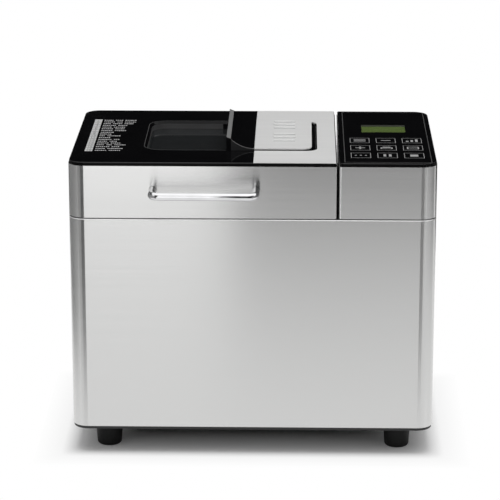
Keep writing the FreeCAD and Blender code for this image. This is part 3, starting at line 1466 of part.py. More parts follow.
for maker in (
        make_feet, make_base_tray, make_body_wrap, make_rear_panel,
        make_cord_gland, make_case_screws, make_deck_frame, make_chassis_plate,
        make_oven_chamber, make_heating_element, make_temperature_sensor, make_pan_clips,
        make_bearing_housing, make_shaft_bushes, make_drive_shaft, make_drive_pulley,
        make_motor_pulley, make_drive_belt, make_drive_dog, make_pan_shaft,
        make_kneading_paddle, make_pan_bush, make_bread_pan, make_pan_bail,
        make_motor_core, make_motor_windings, make_motor_brackets, make_motor_rotor,
        make_power_board, make_control_band, make_control_frame, make_key_panel,
        make_keys, make_display_lens, make_display_module, make_control_board,
        make_lid_band, make_lid_frame, make_lid_seal, make_lid_liner,
        make_lid_top, make_lid_trim, make_lid_window, make_lid_handle,
        make_hinge_pins, make_dispenser_hopper, make_dispenser_flap, make_release_solenoid,
        make_solenoid_plunger, make_dispenser_cover, make_cover_plate, make_cover_pin):
    maker()

doc.recompute()
bodies = [item for item in doc.Objects if item.TypeId == "PartDesign::Body"]
failed = [f"{item.Label} of {getattr(item.getParentGeoFeatureGroup(), 'Label', 'sheet')} {item.State}"
          for item in doc.Objects if {"Invalid", "Error"} & set(item.State)]
failed += [body.Label + " has no valid shape" for body in bodies
           if body.Shape.isNull() or not body.Shape.isValid()]
if failed:
    raise RuntimeError("; ".join(failed))
for item in doc.Objects:
    if item.TypeId in ("PartDesign::Pocket", "PartDesign::Groove"):
        if item.Shape.Volume >= item.BaseFeature.Shape.Volume - 1e-6:
            raise RuntimeError(f"{item.Label} of {item.getParentGeoFeatureGroup().Label} cuts nothing")
os.makedirs("parts", exist_ok=True)
for body in bodies:
    body.Shape.exportStep(f"parts/{body.Label}.step")
    print(body.Label, len(body.Shape.Solids), round(body.Shape.Volume))
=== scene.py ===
import json
import math

import bpy
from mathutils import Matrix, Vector


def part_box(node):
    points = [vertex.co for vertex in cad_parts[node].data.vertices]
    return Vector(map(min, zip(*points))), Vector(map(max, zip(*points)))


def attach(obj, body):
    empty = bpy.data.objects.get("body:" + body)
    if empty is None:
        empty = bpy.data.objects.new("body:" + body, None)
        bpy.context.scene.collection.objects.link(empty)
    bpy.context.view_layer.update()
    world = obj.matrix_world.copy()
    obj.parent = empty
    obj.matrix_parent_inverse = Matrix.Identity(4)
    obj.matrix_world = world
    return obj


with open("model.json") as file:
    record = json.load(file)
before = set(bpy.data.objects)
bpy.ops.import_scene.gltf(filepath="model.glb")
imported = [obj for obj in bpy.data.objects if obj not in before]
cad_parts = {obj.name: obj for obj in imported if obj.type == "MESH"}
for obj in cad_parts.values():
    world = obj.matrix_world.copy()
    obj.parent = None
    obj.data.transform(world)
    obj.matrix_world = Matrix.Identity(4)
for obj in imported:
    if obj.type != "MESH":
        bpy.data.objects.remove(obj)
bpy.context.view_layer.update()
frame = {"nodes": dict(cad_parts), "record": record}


# Shader nodes

def plug(tree, socket, value):
    """Sets one input to a plain value, or links another node's output to it."""
    if isinstance(value, bpy.types.NodeSocket):
        tree.links.new(value, socket)
    else:
        socket.default_value = value


def feed(tree, made, **inputs):
    """Sets a node's inputs, by name, to plain values or to the outputs of other nodes."""
    for key, value in inputs.items():
        plug(tree, made.inputs[key.replace("_", " ")], value)


def make_material(name, **sockets):
    """A new material, its node tree and its main shader, with values set on the shader's sockets."""
    material = bpy.data.materials.new(name)
    material.use_nodes = True
    tree = material.node_tree
    shader = tree.nodes["Principled BSDF"]
    feed(tree, shader, **sockets)
    return material, tree, shader


def node(tree, kind, settings=None, **inputs):
    """Adds a shader node, with its settings and its inputs."""
    made = tree.nodes.new("ShaderNode" + kind)
    for key, value in (settings or {}).items():
        setattr(made, key, value)
    feed(tree, made, **inputs)
    return made


def calc(tree, operation, *values):
    """The result of a maths node. Values are plain numbers or outputs of other nodes."""
    made = node(tree, "Math", {"operation": operation})
    for socket, value in zip(made.inputs, values):
        plug(tree, socket, value)
    return made.outputs[0]


def ranged(tree, value, from_low, from_high, to_low, to_high, kind="LINEAR"):
    """Maps a value from one range to another, and holds it at the ends."""
    made = node(tree, "MapRange", {"interpolation_type": kind}, Value=value, From_Min=from_low,
                From_Max=from_high, To_Min=to_low, To_Max=to_high)
    return made.outputs["Result"]


def stretched_noise(tree, stretch, detail=3.0, rough=0.6):
    """Noise over the object's own metres, scaled apart along the three axes."""
    place = node(tree, "TexCoord").outputs["Object"]
    mapped = node(tree, "Mapping", Vector=place, Scale=stretch).outputs["Vector"]
    return node(tree, "TexNoise", Vector=mapped, Scale=1.0, Detail=detail, Roughness=rough).outputs["Fac"]


def even_noise(tree, scale, detail=2.0):
    """Noise with the same scale along the three axes."""
    return stretched_noise(tree, (scale, scale, scale), detail)


NOISE_LOW, NOISE_HIGH = 0.3, 0.7


def spread(tree, factor, low, high):
    """Maps a noise value, which mostly lies between two limits, to a range of numbers."""
    return ranged(tree, factor, NOISE_LOW, NOISE_HIGH, low, high)


def grey(level):
    return (level, level, level)


def tone(colour, factor):
    """A colour made darker or paler by a factor."""
    return tuple(min(1.0, channel * factor) for channel in colour)


def opaque(colour):
    """A colour with full alpha, as sockets take it."""
    return (*colour, 1.0)


def blended(tree, factor, first, second):
    """A colour between two, by a factor."""
    made = node(tree, "Mix", {"data_type": "RGBA"}, Factor=factor)
    ends = [socket for socket in made.inputs if socket.type == "RGBA"]
    for socket, colour in zip(ends, (first, second)):
        socket.default_value = opaque(colour)
    return next(socket for socket in made.outputs if socket.type == "RGBA")


def mottled(tree, factor, colour, low, high):
    """A colour that a noise value drives between a darker and a paler tone."""
    return blended(tree, spread(tree, factor, 0.0, 1.0), tone(colour, low), tone(colour, high))


def raised(tree, shader, height, strength, distance):
    """Bends a shader's normal by a height, in metres."""
    bump = node(tree, "Bump", Height=height, Strength=strength, Distance=distance)
    feed(tree, shader, Normal=bump.outputs["Normal"])


# Finishes

STREAK_SHARE, GRAIN_ROUGHNESS, GRAIN_HEIGHT = 0.4, 0.01, 0.0002


def brushed_metal(name, colour, fine, broad, rough, contrast=0.06, metallic=1.0, grip=0.0, turn=0.0,
                  swing=0.05, depth=0.06):
    """Metal with a brush grain. The two stretches set the fine lines and the broad streaks."""
    material, tree, shader = make_material(
        name, Metallic=metallic, Anisotropic=grip, Anisotropic_Rotation=turn)
    lines = stretched_noise(tree, fine, detail=4.0, rough=0.7)
    streaks = stretched_noise(tree, broad, detail=2.0)
    grain = calc(tree, "MULTIPLY_ADD", streaks, STREAK_SHARE,
                 calc(tree, "MULTIPLY", lines, 1 - STREAK_SHARE))
    middle = rough + GRAIN_ROUGHNESS
    feed(tree, shader, Base_Color=mottled(tree, grain, colour, 1 - contrast, 1 + contrast),
         Roughness=spread(tree, grain, middle - swing, middle + swing))
    raised(tree, shader, lines, depth, GRAIN_HEIGHT)
    return material


MOULD_HEIGHT, COAT_HEIGHT = 0.00015, 0.0001


def moulded(name, colour, rough, grain=1400.0, depth=0.15, specular=0.5):
    """Moulded plastic: a fine even texture with a slow drift of tone and sheen."""
    material, tree, shader = make_material(name, Specular_IOR_Level=specular)
    drift = even_noise(tree, scale=22.0)
    fine = even_noise(tree, grain)
    feed(tree, shader, Base_Color=mottled(tree, drift, colour, low=0.86, high=1.14),
         Roughness=spread(tree, fine, low=rough * 0.86, high=rough * 1.14))
    raised(tree, shader, fine, depth, MOULD_HEIGHT)
    return material


def polished_metal(name, colour, rough, marks=0.03, metallic=1.0):
    """Bright or ground metal with fine turning marks and a little unevenness."""
    material, tree, shader = make_material(name, Metallic=metallic)
    wear = even_noise(tree, scale=160.0, detail=4.0)
    slow = even_noise(tree, scale=30.0)
    feed(tree, shader, Base_Color=mottled(tree, slow, colour, low=0.92, high=1.05),
         Roughness=spread(tree, wear, low=rough - marks, high=rough + marks))
    raised(tree, shader, wear, strength=0.03, distance=COAT_HEIGHT)
    return material


# Where a fleck starts to fade and where it ends, as shares of a cell
FLECK_FULL, FLECK_END = 0.12, 0.22


def speckled(name, colour, flecks, rough, size=900.0):
    """A coat with small paler flecks, such as non-stick lacquer or solder mask."""
    material, tree, shader = make_material(name)
    place = node(tree, "TexCoord").outputs["Object"]
    cells = node(tree, "TexVoronoi", Vector=place, Scale=size).outputs["Distance"]
    spots = ranged(tree, cells, FLECK_FULL, FLECK_END, 1.0, 0.0)
    fine = even_noise(tree, size)
    feed(tree, shader, Base_Color=blended(tree, spots, colour, flecks),
         Roughness=spread(tree, fine, low=rough * 0.85, high=rough * 1.15))
    raised(tree, shader, fine, strength=0.12, distance=COAT_HEIGHT)
    return material


def tinted(name, colour, through, rough):
    """Tinted glass with a faint film of dust in its roughness."""
    material, tree, shader = make_material(name, Transmission_Weight=through, IOR=1.45)
    film = even_noise(tree, scale=60.0, detail=3.0)
    feed(tree, shader, Base_Color=mottled(tree, film, colour, low=0.92, high=1.08),
         Roughness=spread(tree, film, low=rough, high=rough + 0.03))
    return material


FINISHES = {
    brushed_metal: {
        "brushed_steel": dict(colour=(0.67, 0.67, 0.665), fine=(5, 5, 2600), broad=(1.2, 1.2, 260),
                              rough=0.22, contrast=0.03, grip=0.95, turn=0.25, swing=0.025, depth=0.03),
        "silver_plate": dict(colour=(0.80, 0.80, 0.795), fine=(8, 2200, 8), broad=(2, 260, 2), rough=0.46,
                             contrast=0.04, metallic=0.2),
        "oven_sheet": dict(colour=(0.58, 0.58, 0.56), fine=(40, 40, 300), broad=(12, 12, 40), rough=0.42,
                           contrast=0.08),
        "lamination": dict(colour=(0.20, 0.20, 0.21), fine=(4, 4, 2000), broad=(2, 2, 300), rough=0.5,
                           contrast=0.2),
        "copper": dict(colour=(0.55, 0.24, 0.10), fine=(4, 4, 1800), broad=(3, 3, 200), rough=0.35,
                       contrast=0.2),
    },
    moulded: {
        "black_plastic": dict(colour=(0.020, 0.020, 0.021), rough=0.5),
        "black_gloss": dict(colour=(0.0035, 0.0035, 0.004), rough=0.10, grain=300.0, depth=0.01,
                            specular=0.14),
        "dark_plastic": dict(colour=(0.035, 0.035, 0.038), rough=0.42),
        "pulley_plastic": dict(colour=(0.06, 0.06, 0.065), rough=0.45),
        "foot_rubber": dict(colour=grey(0.010), rough=0.55, grain=900.0, depth=0.3, specular=0.2),
        "belt_rubber": dict(colour=grey(0.015), rough=0.7, grain=1100.0, depth=0.4, specular=0.3),
        "seal_silicone": dict(colour=(0.34, 0.34, 0.35), rough=0.5, grain=800.0, depth=0.1, specular=0.4),
    },
    polished_metal: {
        "chrome": dict(colour=(0.70, 0.70, 0.71), rough=0.08),
        "screw_steel": dict(colour=(0.50, 0.50, 0.49), rough=0.28, marks=0.08),
        "shaft_steel": dict(colour=grey(0.60), rough=0.22, marks=0.06),
        "zinc_steel": dict(colour=(0.56, 0.57, 0.55), rough=0.38, marks=0.1),
        "bronze": dict(colour=(0.55, 0.38, 0.20), rough=0.4, marks=0.1),
        "sensor_metal": dict(colour=(0.60, 0.46, 0.24), rough=0.3, marks=0.08),
        "element": dict(colour=(0.11, 0.105, 0.10), rough=0.5, marks=0.12, metallic=0.7),
    },
    speckled: {
        "non_stick": dict(colour=(0.045, 0.045, 0.048), flecks=grey(0.10), rough=0.42),
        "board": dict(colour=(0.02, 0.13, 0.05), flecks=(0.30, 0.30, 0.26), rough=0.4, size=300.0),
    },
    tinted: {
        "tinted_glass": dict(colour=(0.045, 0.048, 0.05), through=0.55, rough=0.04),
        "lens": dict(colour=(0.15, 0.22, 0.062), through=0.25, rough=0.10),
    },
}
finishes = {}
for make, group in FINISHES.items():
    for name, settings in group.items():
        finishes[name] = make(name, **settings)
for part in frame["record"]["subparts"]:
    held = frame["nodes"][part["node"]]
    held.data.materials.clear()
    held.data.materials.append(finishes[part["material_slot"]])


# Printed marks, and thin strips of painted highlight, reflection, light and shade

def ink(name, colour):
    """Flat matt colour with a slight unevenness, for print and for painted highlights and shade."""
    material, tree, shader = make_material(name, Roughness=0.45)
    drift = even_noise(tree, scale=500.0)
    feed(tree, shader, Base_Color=mottled(tree, drift, colour, low=0.85, high=1.1))
    return material


pale_ink = ink("pale_ink", grey(0.42))
dark_ink = ink("dark_ink", grey(0.03))
list_ink = ink("list_ink", grey(0.66))
# Painted highlight for the curl's front edge
painted_highlight_ink = ink("painted_highlight_ink", grey(0.30))
# Painted highlight: a dim grey for the lit edges round the key panel and the window
painted_faint_highlight = ink("painted_faint_highlight", grey(0.07))
# Painted shadow: a dark olive for the bezel's shadow on the display
painted_shadow_ink = ink("painted_shadow_ink", (0.014, 0.018, 0.008))
# Painted highlight: a near-white for the tops of the cover's ribs
painted_rib_highlight = ink("painted_rib_highlight", (0.92, 0.92, 0.915))
# Painted reflection: a paler, glossier black for the curl's side face, which reflects the light in front
painted_reflection_black = moulded("painted_reflection_black", (0.020, 0.020, 0.021), rough=0.35, specular=0.3)
# Painted light: a grey for the lit wall of the window's well, which is black plastic
painted_light_grey = moulded("painted_light_grey", (0.10, 0.10, 0.102), rough=0.4)
# Painted shade: a duller copy of the gloss black, for the lid's and panel's front faces
painted_shade_black = moulded("painted_shade_black", grey(0.004), rough=0.5, specular=0.05)
# Painted highlight for the eased front edges of the lid and the panel
painted_highlight_grey = moulded("painted_highlight_grey", (0.035, 0.035, 0.036), rough=0.35, specular=0.3)
satin_edge = brushed_metal("satin_edge", grey(0.24), fine=(2200, 8, 8), broad=(260, 2, 2), rough=0.5,
                           contrast=0.05, metallic=0.3)
# Painted shade: a darker silver for the strips in front of the ribs
painted_shade_silver = brushed_metal("painted_shade_silver", grey(0.55), fine=(8, 2200, 8), broad=(2, 260, 2), rough=0.5,
                            contrast=0.05, metallic=0.2)
# Painted highlight: a paler copy of the steel for the wrap's top edge
painted_highlight_silver = brushed_metal("painted_highlight_silver", grey(0.90), fine=(8, 2200, 8), broad=(2, 260, 2), rough=0.35,
                            contrast=0.03, metallic=0.7)
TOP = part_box("lid_top")[1].z
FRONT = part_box("body_wrap")[0].y


def flat_mesh(name, corners, faces, material, body, slot):
    """A thin piece that rides on a body of the part."""
    mesh = bpy.data.meshes.new(name)
    mesh.from_pydata(corners, [], faces)
    mesh.materials.append(material)
    made = bpy.data.objects.new(name, mesh)
    bpy.context.scene.collection.objects.link(made)
    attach(made, body)


def quads(boxes, z):
    """Corners and faces of level rectangles (x low, x high, y low, y high) at one height."""
    corners, faces = [], []
    for x_low, x_high, y_low, y_high in boxes:
        first = len(corners)
        corners += [(x_low, y_low, z), (x_high, y_low, z), (x_high, y_high, z), (x_low, y_high, z)]
        faces.append(tuple(range(first, first + 4)))
    return corners, faces


def lined(x_low, x_high, y_low, y_high, width):
    """Four thin rectangles along the sides of a larger one."""
    return [(x_low, x_high, y_low, y_low + width), (x_low, x_high, y_high - width, y_high),
            (x_low, x_low + width, y_low + width, y_high - width),
            (x_high - width, x_high, y_low + width, y_high - width)]


def printed(name, boxes, z, material, body, slot="black_gloss"):
    """Level rectangles at one height, as one piece: print, or a strip of painted highlight or shade."""
    flat_mesh(name, *quads(boxes, z), material, body, slot)


def lettered(name, text, x, y, z, size, material, body):
    """A printed number, centred at a place."""
    curve = bpy.data.curves.new(name, "FONT")
    curve.body = text
    curve.size = size
    curve.align_x, curve.align_y = "CENTER", "CENTER"
    curve.materials.append(material)
    made = bpy.data.objects.new(name, curve)
    made.location = (x, y, z)
    bpy.context.scene.collection.objects.link(made)
    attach(made, body)


def ribbon(name, first, second, material, body, slot):
    """A strip of faces between two rows of points."""
    count = len(first)
    faces = [(i, i + 1, count + i + 1, count + i) for i in range(count - 1)]
    flat_mesh(name, first + second, faces, material, body, slot)


def rounded_u(x_end, x_side, y_low, y_high, radius, steps=8):
    """Points of a line that runs round two rounded corners at one side, and ends at x_end at both ends."""
    inward = math.copysign(1.0, x_end - x_side)
    points = [(x_end, y_low)]
    for centre_y, start in ((y_low + radius, 1.5), (y_high - radius, 1.0)):
        for step in range(steps + 1):
            angle = math.pi * (start - 0.5 * step / steps)
            points.append((x_side + inward * radius * (1 + math.cos(angle)),
                           centre_y + radius * math.sin(angle)))
    return points + [(x_end, y_high)]


# How far a print, or a strip of painted highlight or shade, lies off the solid under it. Lengths are in
# metres, apart from the icons and the lens.
LIFT = 0.00004

LIST_BACK, LIST_LEFT, LIST_RIGHT, WORDS_LEFT = 0.1800, -0.1690, -0.1614, -0.1590
ROW_PITCH, CELL_HALF, NUMBER_SIZE = 0.0077, 0.0034, 0.0056
STROKE_WIDTH, STROKE_PITCH, WORD_GAP = 0.0014, 0.0020, 0.0020
STROKE_HALVES = (0.0015, 0.0011, 0.0011, 0.0015, 0.0011)
WORDS = ((5, 4, 6), (6, 3, 6), (4, 5, 5), (7, 5), (5, 6), (6, 5), (6, 6), (7,), (6,), (3, 7), (6,),
         (7, 3), (5, 4), (6, 5), (4, 3, 6), (7, 4), (5, 8), (6, 6))
cells, marks = [], []
for row, words in enumerate(WORDS):
    y = FRONT + LIST_BACK - row * ROW_PITCH
    cells.append((LIST_LEFT, LIST_RIGHT, y - CELL_HALF, y + CELL_HALF))
    lettered(f"programme_{row + 1}", str(row + 1), (LIST_LEFT + LIST_RIGHT) / 2, y, TOP + 2 * LIFT,
             NUMBER_SIZE, dark_ink, "lid")
    x = WORDS_LEFT
    for length in words:
        for stroke in range(length):
            half = STROKE_HALVES[(row + stroke) % len(STROKE_HALVES)]
            marks.append((x, x + STROKE_WIDTH, y - half, y + half))
            x += STROKE_PITCH
        x += WORD_GAP
printed("programme_cells", cells, TOP + LIFT, list_ink, "lid")
printed("programme_marks", marks, TOP + LIFT, list_ink, "lid")

# Painted highlight: a faint line round the key panel, where the frame's inner edge catches the light
panel_low, panel_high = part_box("key_panel")
BORDER_MARGIN, BORDER_WIDTH = 0.0002, 0.0007
border = lined(panel_low.x + BORDER_MARGIN, panel_high.x - BORDER_MARGIN,
               panel_low.y + BORDER_MARGIN, panel_high.y - BORDER_MARGIN, BORDER_WIDTH)
printed("panel_painted_edge_highlight", border, TOP + LIFT, painted_faint_highlight, "housing")

cover_low, cover_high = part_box("dispenser_cover")
LIP_WIDTH, LIP_FALL, LIP_MARGIN, LIP_SPAN = 0.0046, 0.0019, 0.0002, (0.05, 0.95)
lip = [(cover_low.x + run * LIP_WIDTH, y, cover_high.z - run * LIP_FALL + LIFT)
       for y in (cover_low.y + LIP_MARGIN, cover_high.y - LIP_MARGIN) for run in LIP_SPAN]
flat_mesh("lip_edge", lip, [(0, 1, 3, 2)], satin_edge, "dispenser_cover", "silver_plate")

plate_low, plate_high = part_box("cover_plate")
RIB_HEIGHT, RIB_LEFT, RIB_LENGTH, RIB_HALF = 0.0008, 0.018, 0.0235, 0.0015
plate_top = plate_high.z - RIB_HEIGHT
CURL_STEPS, CURL_SKIRT, CURL_LINE = 16, 0.004, 0.0006
curl_run = plate_low.x - cover_low.x - LIP_WIDTH
curl_rise = cover_high.z - LIP_FALL - plate_top
curl_radius = (curl_run ** 2 + curl_rise ** 2) / (2 * curl_rise)
curl = []
for step in range(CURL_STEPS + 1):
    angle = math.asin(curl_run / curl_radius) * step / CURL_STEPS
    curl.append((plate_low.x - curl_radius * math.sin(angle),
                 plate_top + curl_radius * (1 - math.cos(angle))))
side_y = cover_low.y - LIFT
line_y = side_y - LIFT
# Painted reflection: the curl's side face drawn in a paler black, for the front light it reflects
ribbon("curl_side_painted_reflection", [(x, side_y, z) for x, z in curl],
       [(x, side_y, cover_low.z + CURL_SKIRT) for x, z in curl],
       painted_reflection_black, "dispenser_cover", "black_gloss")
# Painted highlight: a grey line along the curl's curved front edge
ribbon("curl_edge_painted_highlight", [(x, line_y, z) for x, z in curl], [(x, line_y, z - CURL_LINE) for x, z in curl],
       painted_highlight_ink, "dispenser_cover", "black_gloss")

RIB_GROUPS, GROUP_RIBS = 2, 3
RIB_FIRST, RIB_GROUP, RIB_STEP, RIB_FOOT = 0.086, 0.0555, 0.0136, 0.0023
RIB_MARGIN, PAINTED_SHADE_WIDTH = 0.001, 0.0022
rib_ends = (plate_low.x + RIB_LEFT + RIB_MARGIN, plate_low.x + RIB_LEFT + RIB_LENGTH - RIB_MARGIN)
rib_painted_highlights, rib_painted_shades = [], []
for group in range(RIB_GROUPS):
    for step in range(GROUP_RIBS):
        y = FRONT + RIB_FIRST + group * RIB_GROUP + step * RIB_STEP
        rib_painted_highlights.append((*rib_ends, y - RIB_HALF, y + RIB_HALF))
        rib_painted_shades.append((*rib_ends, y - RIB_FOOT - PAINTED_SHADE_WIDTH, y - RIB_FOOT))
# Painted highlights on the ribs' tops
printed("rib_painted_highlights", rib_painted_highlights, plate_high.z + LIFT, painted_rib_highlight, "dispenser_cover", "silver_plate")
# Painted shade: a darker strip on the plate in front of each rib's foot
printed("rib_painted_shades", rib_painted_shades, plate_top + LIFT, painted_shade_silver, "dispenser_cover", "silver_plate")

glass_low, glass_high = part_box("lid_window")
WINDOW_RADIUS, BEVEL, RIM_WIDTH, WINDOW_STOP = 0.0155, 0.0025, 0.0006, 0.001


def window_line(margin, z):
    """Points along the window's outline, grown by a margin, up to the dispenser's lip."""
    return [(x, y, z) for x, y in rounded_u(
        cover_low.x - WINDOW_STOP, glass_low.x - margin, glass_low.y - margin, glass_high.y + margin,
        WINDOW_RADIUS + margin)]


# Painted highlight: a thin grey ring where the eased rim round the window catches the light
ribbon("window_rim_painted_highlight", window_line(BEVEL, TOP + LIFT), window_line(BEVEL + RIM_WIDTH, TOP + LIFT), painted_faint_highlight,
       "lid", "black_gloss")
# Painted light: the well's black wall drawn grey, as it looks where the light falls on it
ribbon("window_wall_painted_light", window_line(0.0, glass_high.z + LIFT), window_line(0.0, TOP - BEVEL), painted_light_grey,
       "lid", "black_gloss")

CORNER, EDGE_ROUND, RIM_END, RIM_ANGLES = 0.0154, 0.0012, 0.003, (35, 60)
band_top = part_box("lid_band")[1].z


def rim_line(ends, side, angle):
    """Points up a rim's eased edge by an angle, round its left side, 0, or its right one, 1."""
    inward = 1 - 2 * side
    inset = EDGE_ROUND * (1 - math.cos(angle)) - LIFT
    height = TOP - EDGE_ROUND * (1 - math.sin(angle)) + LIFT
    return [(x, y, height) for x, y in rounded_u(
        ends[1 - side].x - inward * RIM_END, ends[side].x + inward * inset,
        ends[0].y + inset, ends[1].y - inset, CORNER - inset)]


for name, piece, body, side in (("lid", "lid_top", "lid", 0), ("panel", "control_frame", "housing", 1)):
    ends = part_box(piece)
    # Painted highlight: a grey ribbon up the eased front edge
    edge = [rim_line(ends, side, math.radians(angle)) for angle in RIM_ANGLES]
    ribbon(name + "_edge", *edge, painted_highlight_grey, body, "black_gloss")
    # Painted shade: a dull black sheet over the front face below the edge, so that it shows no reflection
    face = rim_line(ends, side, 0.0)
    foot = [(x, y, band_top + LIFT) for x, y, z in face]
    ribbon(name + "_face", face, foot, painted_shade_black, body, "black_gloss")

wrap_low, wrap_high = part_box("body_wrap")
WRAP_CORNER, WRAP_EDGE, WRAP_FLARE, WRAP_SKIP = 0.016, 0.0008, 0.0006, 3


def wrap_line(out, z):
    """Points along the wrap's front and round most of its two corners, moved out by a distance."""
    line = rounded_u(wrap_low.y + WRAP_CORNER, wrap_low.y - out, wrap_low.x - out, wrap_high.x + out,
                     WRAP_CORNER + out)
    return [(x, y, z) for y, x in line[WRAP_SKIP:-WRAP_SKIP]]


# Painted highlight: a pale strip along the wrap's top edge, below the seam
ribbon("wrap_edge_painted_highlight", wrap_line(LIFT, wrap_high.z), wrap_line(WRAP_FLARE, wrap_high.z - WRAP_EDGE),
       painted_highlight_silver, "housing", "brushed_steel")

lens_low, lens_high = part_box("display_lens")
# Painted shadow of the bezel over the rear quarter of the display
PAINTED_SHADOW_SHARE = 0.25
painted_shadow_front = lens_high.y - PAINTED_SHADOW_SHARE * (lens_high.y - lens_low.y)
printed("display_painted_shadow", [(lens_low.x, lens_high.x, painted_shadow_front, lens_high.y)], lens_high.z + LIFT,
        painted_shadow_ink, "housing", "lens")

BAR = (-5, 5, -0.9, 0.9)
# Boxes of the keys' plain marks, in the keys' order, in millimetres about a key's middle
ICONS = {
    "rows": [(-6, 6, 3, 4.4), (-6, 6, -0.7, 0.7), (-6, 6, -4.4, -3)],
    "minus": [BAR],
    "bars": [(-6, -3.4, -5, -1), (-1.3, 1.3, -5, 2), (3.4, 6, -5, 5)],
    "plus": [BAR, (-0.9, 0.9, -5, 5)],
    "loaf": lined(-6, 6, -4, 2, 1.2) + [(-4, 4, 2, 4.4)],
    "frame": lined(-6, 6, -4.5, 4.5, 1.3),
    "dots": [(-6, -4, -1, 1), (-1, 1, -1, 1), (4, 6, -1, 1)],
    "pause": [(-4, -1.4, -4.4, 4.4), (1.4, 4, -4.4, 4.4)],
    "stop": [(-4, 4, -4, 4)],
}
MM_PER_METRE = 1000
KEY_HALF_X, KEY_HALF_Y, KEY_LINE = 0.0099, 0.0101, 0.0005
for count, icon in enumerate(ICONS.values(), start=1):
    key = f"key_{count}"
    low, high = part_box(key)
    middle = (low + high) / 2
    key_frame = lined(middle.x - KEY_HALF_X, middle.x + KEY_HALF_X,
                      middle.y - KEY_HALF_Y, middle.y + KEY_HALF_Y, KEY_LINE)
    origins = (middle.x, middle.x, middle.y, middle.y)
    mark = [[origin + side / MM_PER_METRE for origin, side in zip(origins, box)] for box in icon]
    printed(key + "_print", key_frame + mark, high.z + LIFT, pale_ink, key)


# Studio

def aim(made, place, target):
    """Adds a lamp or a camera at a place, looking at a target."""
    made.location = place
    made.rotation_mode = "QUATERNION"
    made.rotation_quaternion = (Vector(target) - Vector(place)).to_track_quat("-Z", "Y")
    bpy.context.scene.collection.objects.link(made)
    return made


def softbox(name, place, target, size, power):
    """A lamp that the camera doesn't see. Its power is in watts."""
    light = bpy.data.lights.new(name, "AREA")
    light.shape = "RECTANGLE"
    light.size, light.size_y = size
    light.energy = power
    aim(bpy.data.objects.new(name, light), place, target).visible_camera = False


softbox("front_card", (-0.20, -0.95, 0.60), (-0.20, 0.0, 0.60), (0.28, 0.8), 0.90)
softbox("left_box", (-1.5, -0.9, 0.9), (-0.1, -0.1, 0.15), (0.9, 1.3), 5)
softbox("top_box", (0.1, 0.1, 1.9), (0.0, 0.0, 0.2), (3.2, 3.2), 44)
softbox("right_box", (1.5, -0.5, 0.7), (0.1, 0.0, 0.15), (0.6, 1.2), 4)

# The sky grows brighter from the horizon upwards
SKY_HEIGHTS, SKY_STRENGTHS = (0.1, 0.75), (0.12, 0.7)
world = bpy.data.worlds.new("studio")
bpy.context.scene.world = world
world.use_nodes = True
sky = world.node_tree
direction = node(sky, "TexCoord").outputs["Generated"]
height = node(sky, "SeparateXYZ", Vector=direction).outputs["Z"]
glow = ranged(sky, height, *SKY_HEIGHTS, *SKY_STRENGTHS, "SMOOTHSTEP")
feed(sky, sky.nodes["Background"], Strength=glow)

# The glow mask is a rounded box round the machine's footprint. The shadow under the machine is real, but
# the box sets where it ends, and the ramp mixes some white glow into its edge: painted light.
SHADOW_MIDDLE, SHADOW_HALF, SHADOW_BLEND = (0.0, 0.0109), (0.1825, 0.108), 0.02
FADE_START, FADE_END = -0.06, 0.04
FADE_STOPS = ((0.55, 0.10), (0.72, 0.82))
FLOOR_SIZE = 30.0


def floor_paper():
    """Paper that takes the machine's shadow near it, and turns to even white beyond it."""
    material = bpy.data.materials.new("studio_floor")
    material.use_nodes = True
    tree = material.node_tree
    tree.nodes.clear()
    spot = node(tree, "SeparateXYZ", Vector=node(tree, "TexCoord").outputs["Object"]).outputs
    beyond = []
    for axis, middle, half in zip("XY", SHADOW_MIDDLE, SHADOW_HALF):
        away = calc(tree, "ABSOLUTE", calc(tree, "SUBTRACT", spot[axis], middle))
        beyond.append(calc(tree, "SUBTRACT", away, half))
    reach = calc(tree, "SMOOTH_MAX", *beyond, SHADOW_BLEND)
    fade = node(tree, "ValToRGB", Fac=ranged(tree, reach, FADE_START, FADE_END, 0.0, 1.0))
    for stop, level in FADE_STOPS:
        fade.color_ramp.elements.new(stop).color = opaque(grey(level))
    rays = node(tree, "LightPath").outputs
    seen = calc(tree, "MAXIMUM", rays["Is Camera Ray"], rays["Is Glossy Ray"])
    shown = calc(tree, "MAXIMUM", seen, rays["Is Transmission Ray"])
    surface = node(tree, "MixShader", Fac=calc(tree, "MULTIPLY", shown, fade.outputs["Color"]))
    paper = node(tree, "BsdfDiffuse", Color=opaque(grey(0.9)))
    white = node(tree, "Emission", Color=opaque(grey(1.0)), Strength=1.0)
    for socket, shader in zip(surface.inputs[1:], (paper, white)):
        plug(tree, socket, shader.outputs[0])
    node(tree, "OutputMaterial", Surface=surface.outputs[0])
    return material


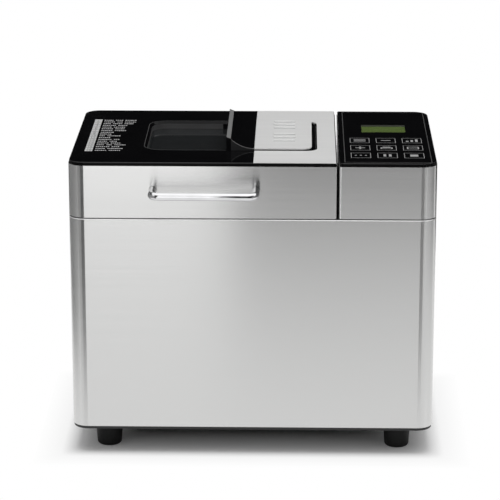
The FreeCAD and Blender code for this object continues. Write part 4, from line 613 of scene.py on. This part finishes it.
bpy.ops.mesh.primitive_plane_add(size=FLOOR_SIZE, location=(0.0, 0.0, 0.0))
floor = bpy.context.object
floor.name = "studio_floor"
floor.data.materials.append(floor_paper())


def flag(name, place, size, turn, shade):
    """An upright dark card, seen in reflections alone."""
    material = make_material(name, Base_Color=opaque(grey(shade)), Specular_IOR_Level=0.0)[0]
    bpy.ops.mesh.primitive_plane_add(size=1.0, location=place, rotation=(math.pi / 2, 0.0, turn))
    made = bpy.context.object
    made.name = name
    made.scale = (*size, 1.0)
    made.data.materials.append(material)
    made.visible_camera = False
    made.visible_diffuse = False
    made.visible_shadow = False


flag("flag_right", (0.43, -0.95, 0.27), (0.94, 0.46), 0.0, 0.03)
flag("flag_strip", (0.27, -0.40, 0.25), (0.10, 0.5), 0.0, 0.48)
flag("flag_left", (-0.283, -0.40, 0.25), (0.10, 0.5), 0.0, 0.16)
flag("flag_corner", (-0.543, -0.40, 0.25), (0.42, 0.5), 0.0, 0.50)
flag("flag_side_left", (-0.52, -0.05, 0.25), (0.8, 0.5), math.pi / 2, 0.50)
flag("flag_side_right", (0.95, -0.35, 0.40), (1.2, 0.8), math.pi / 2, 0.25)
flag("flag_back_right", (0.8, 0.6, 0.20), (1.2, 0.40), 0.0, 0.02)
flag("flag_behind", (0.0, 1.3, 0.65), (4.0, 1.0), 0.0, 0.005)
flag("flag_back_left", (-0.8, 0.6, 0.20), (1.2, 0.40), 0.0, 0.2)


# Camera

SENSOR, LENS, FAR = 36.0, 180.8, 60.0
TURN, RISE, AWAY = math.radians(1.20), math.radians(16.24), 2.6
TARGET = Vector((-0.0044, 0.0, 0.1871))
camera_data = bpy.data.cameras.new("camera")
camera_data.sensor_width = SENSOR
camera_data.lens = LENS
camera_data.clip_end = FAR
back = Vector((math.sin(TURN) * math.cos(RISE), -math.cos(TURN) * math.cos(RISE), math.sin(RISE)))
bpy.context.scene.camera = aim(bpy.data.objects.new("camera", camera_data), TARGET + back * AWAY, TARGET)
bpy.context.scene.view_settings.view_transform = "Standard"
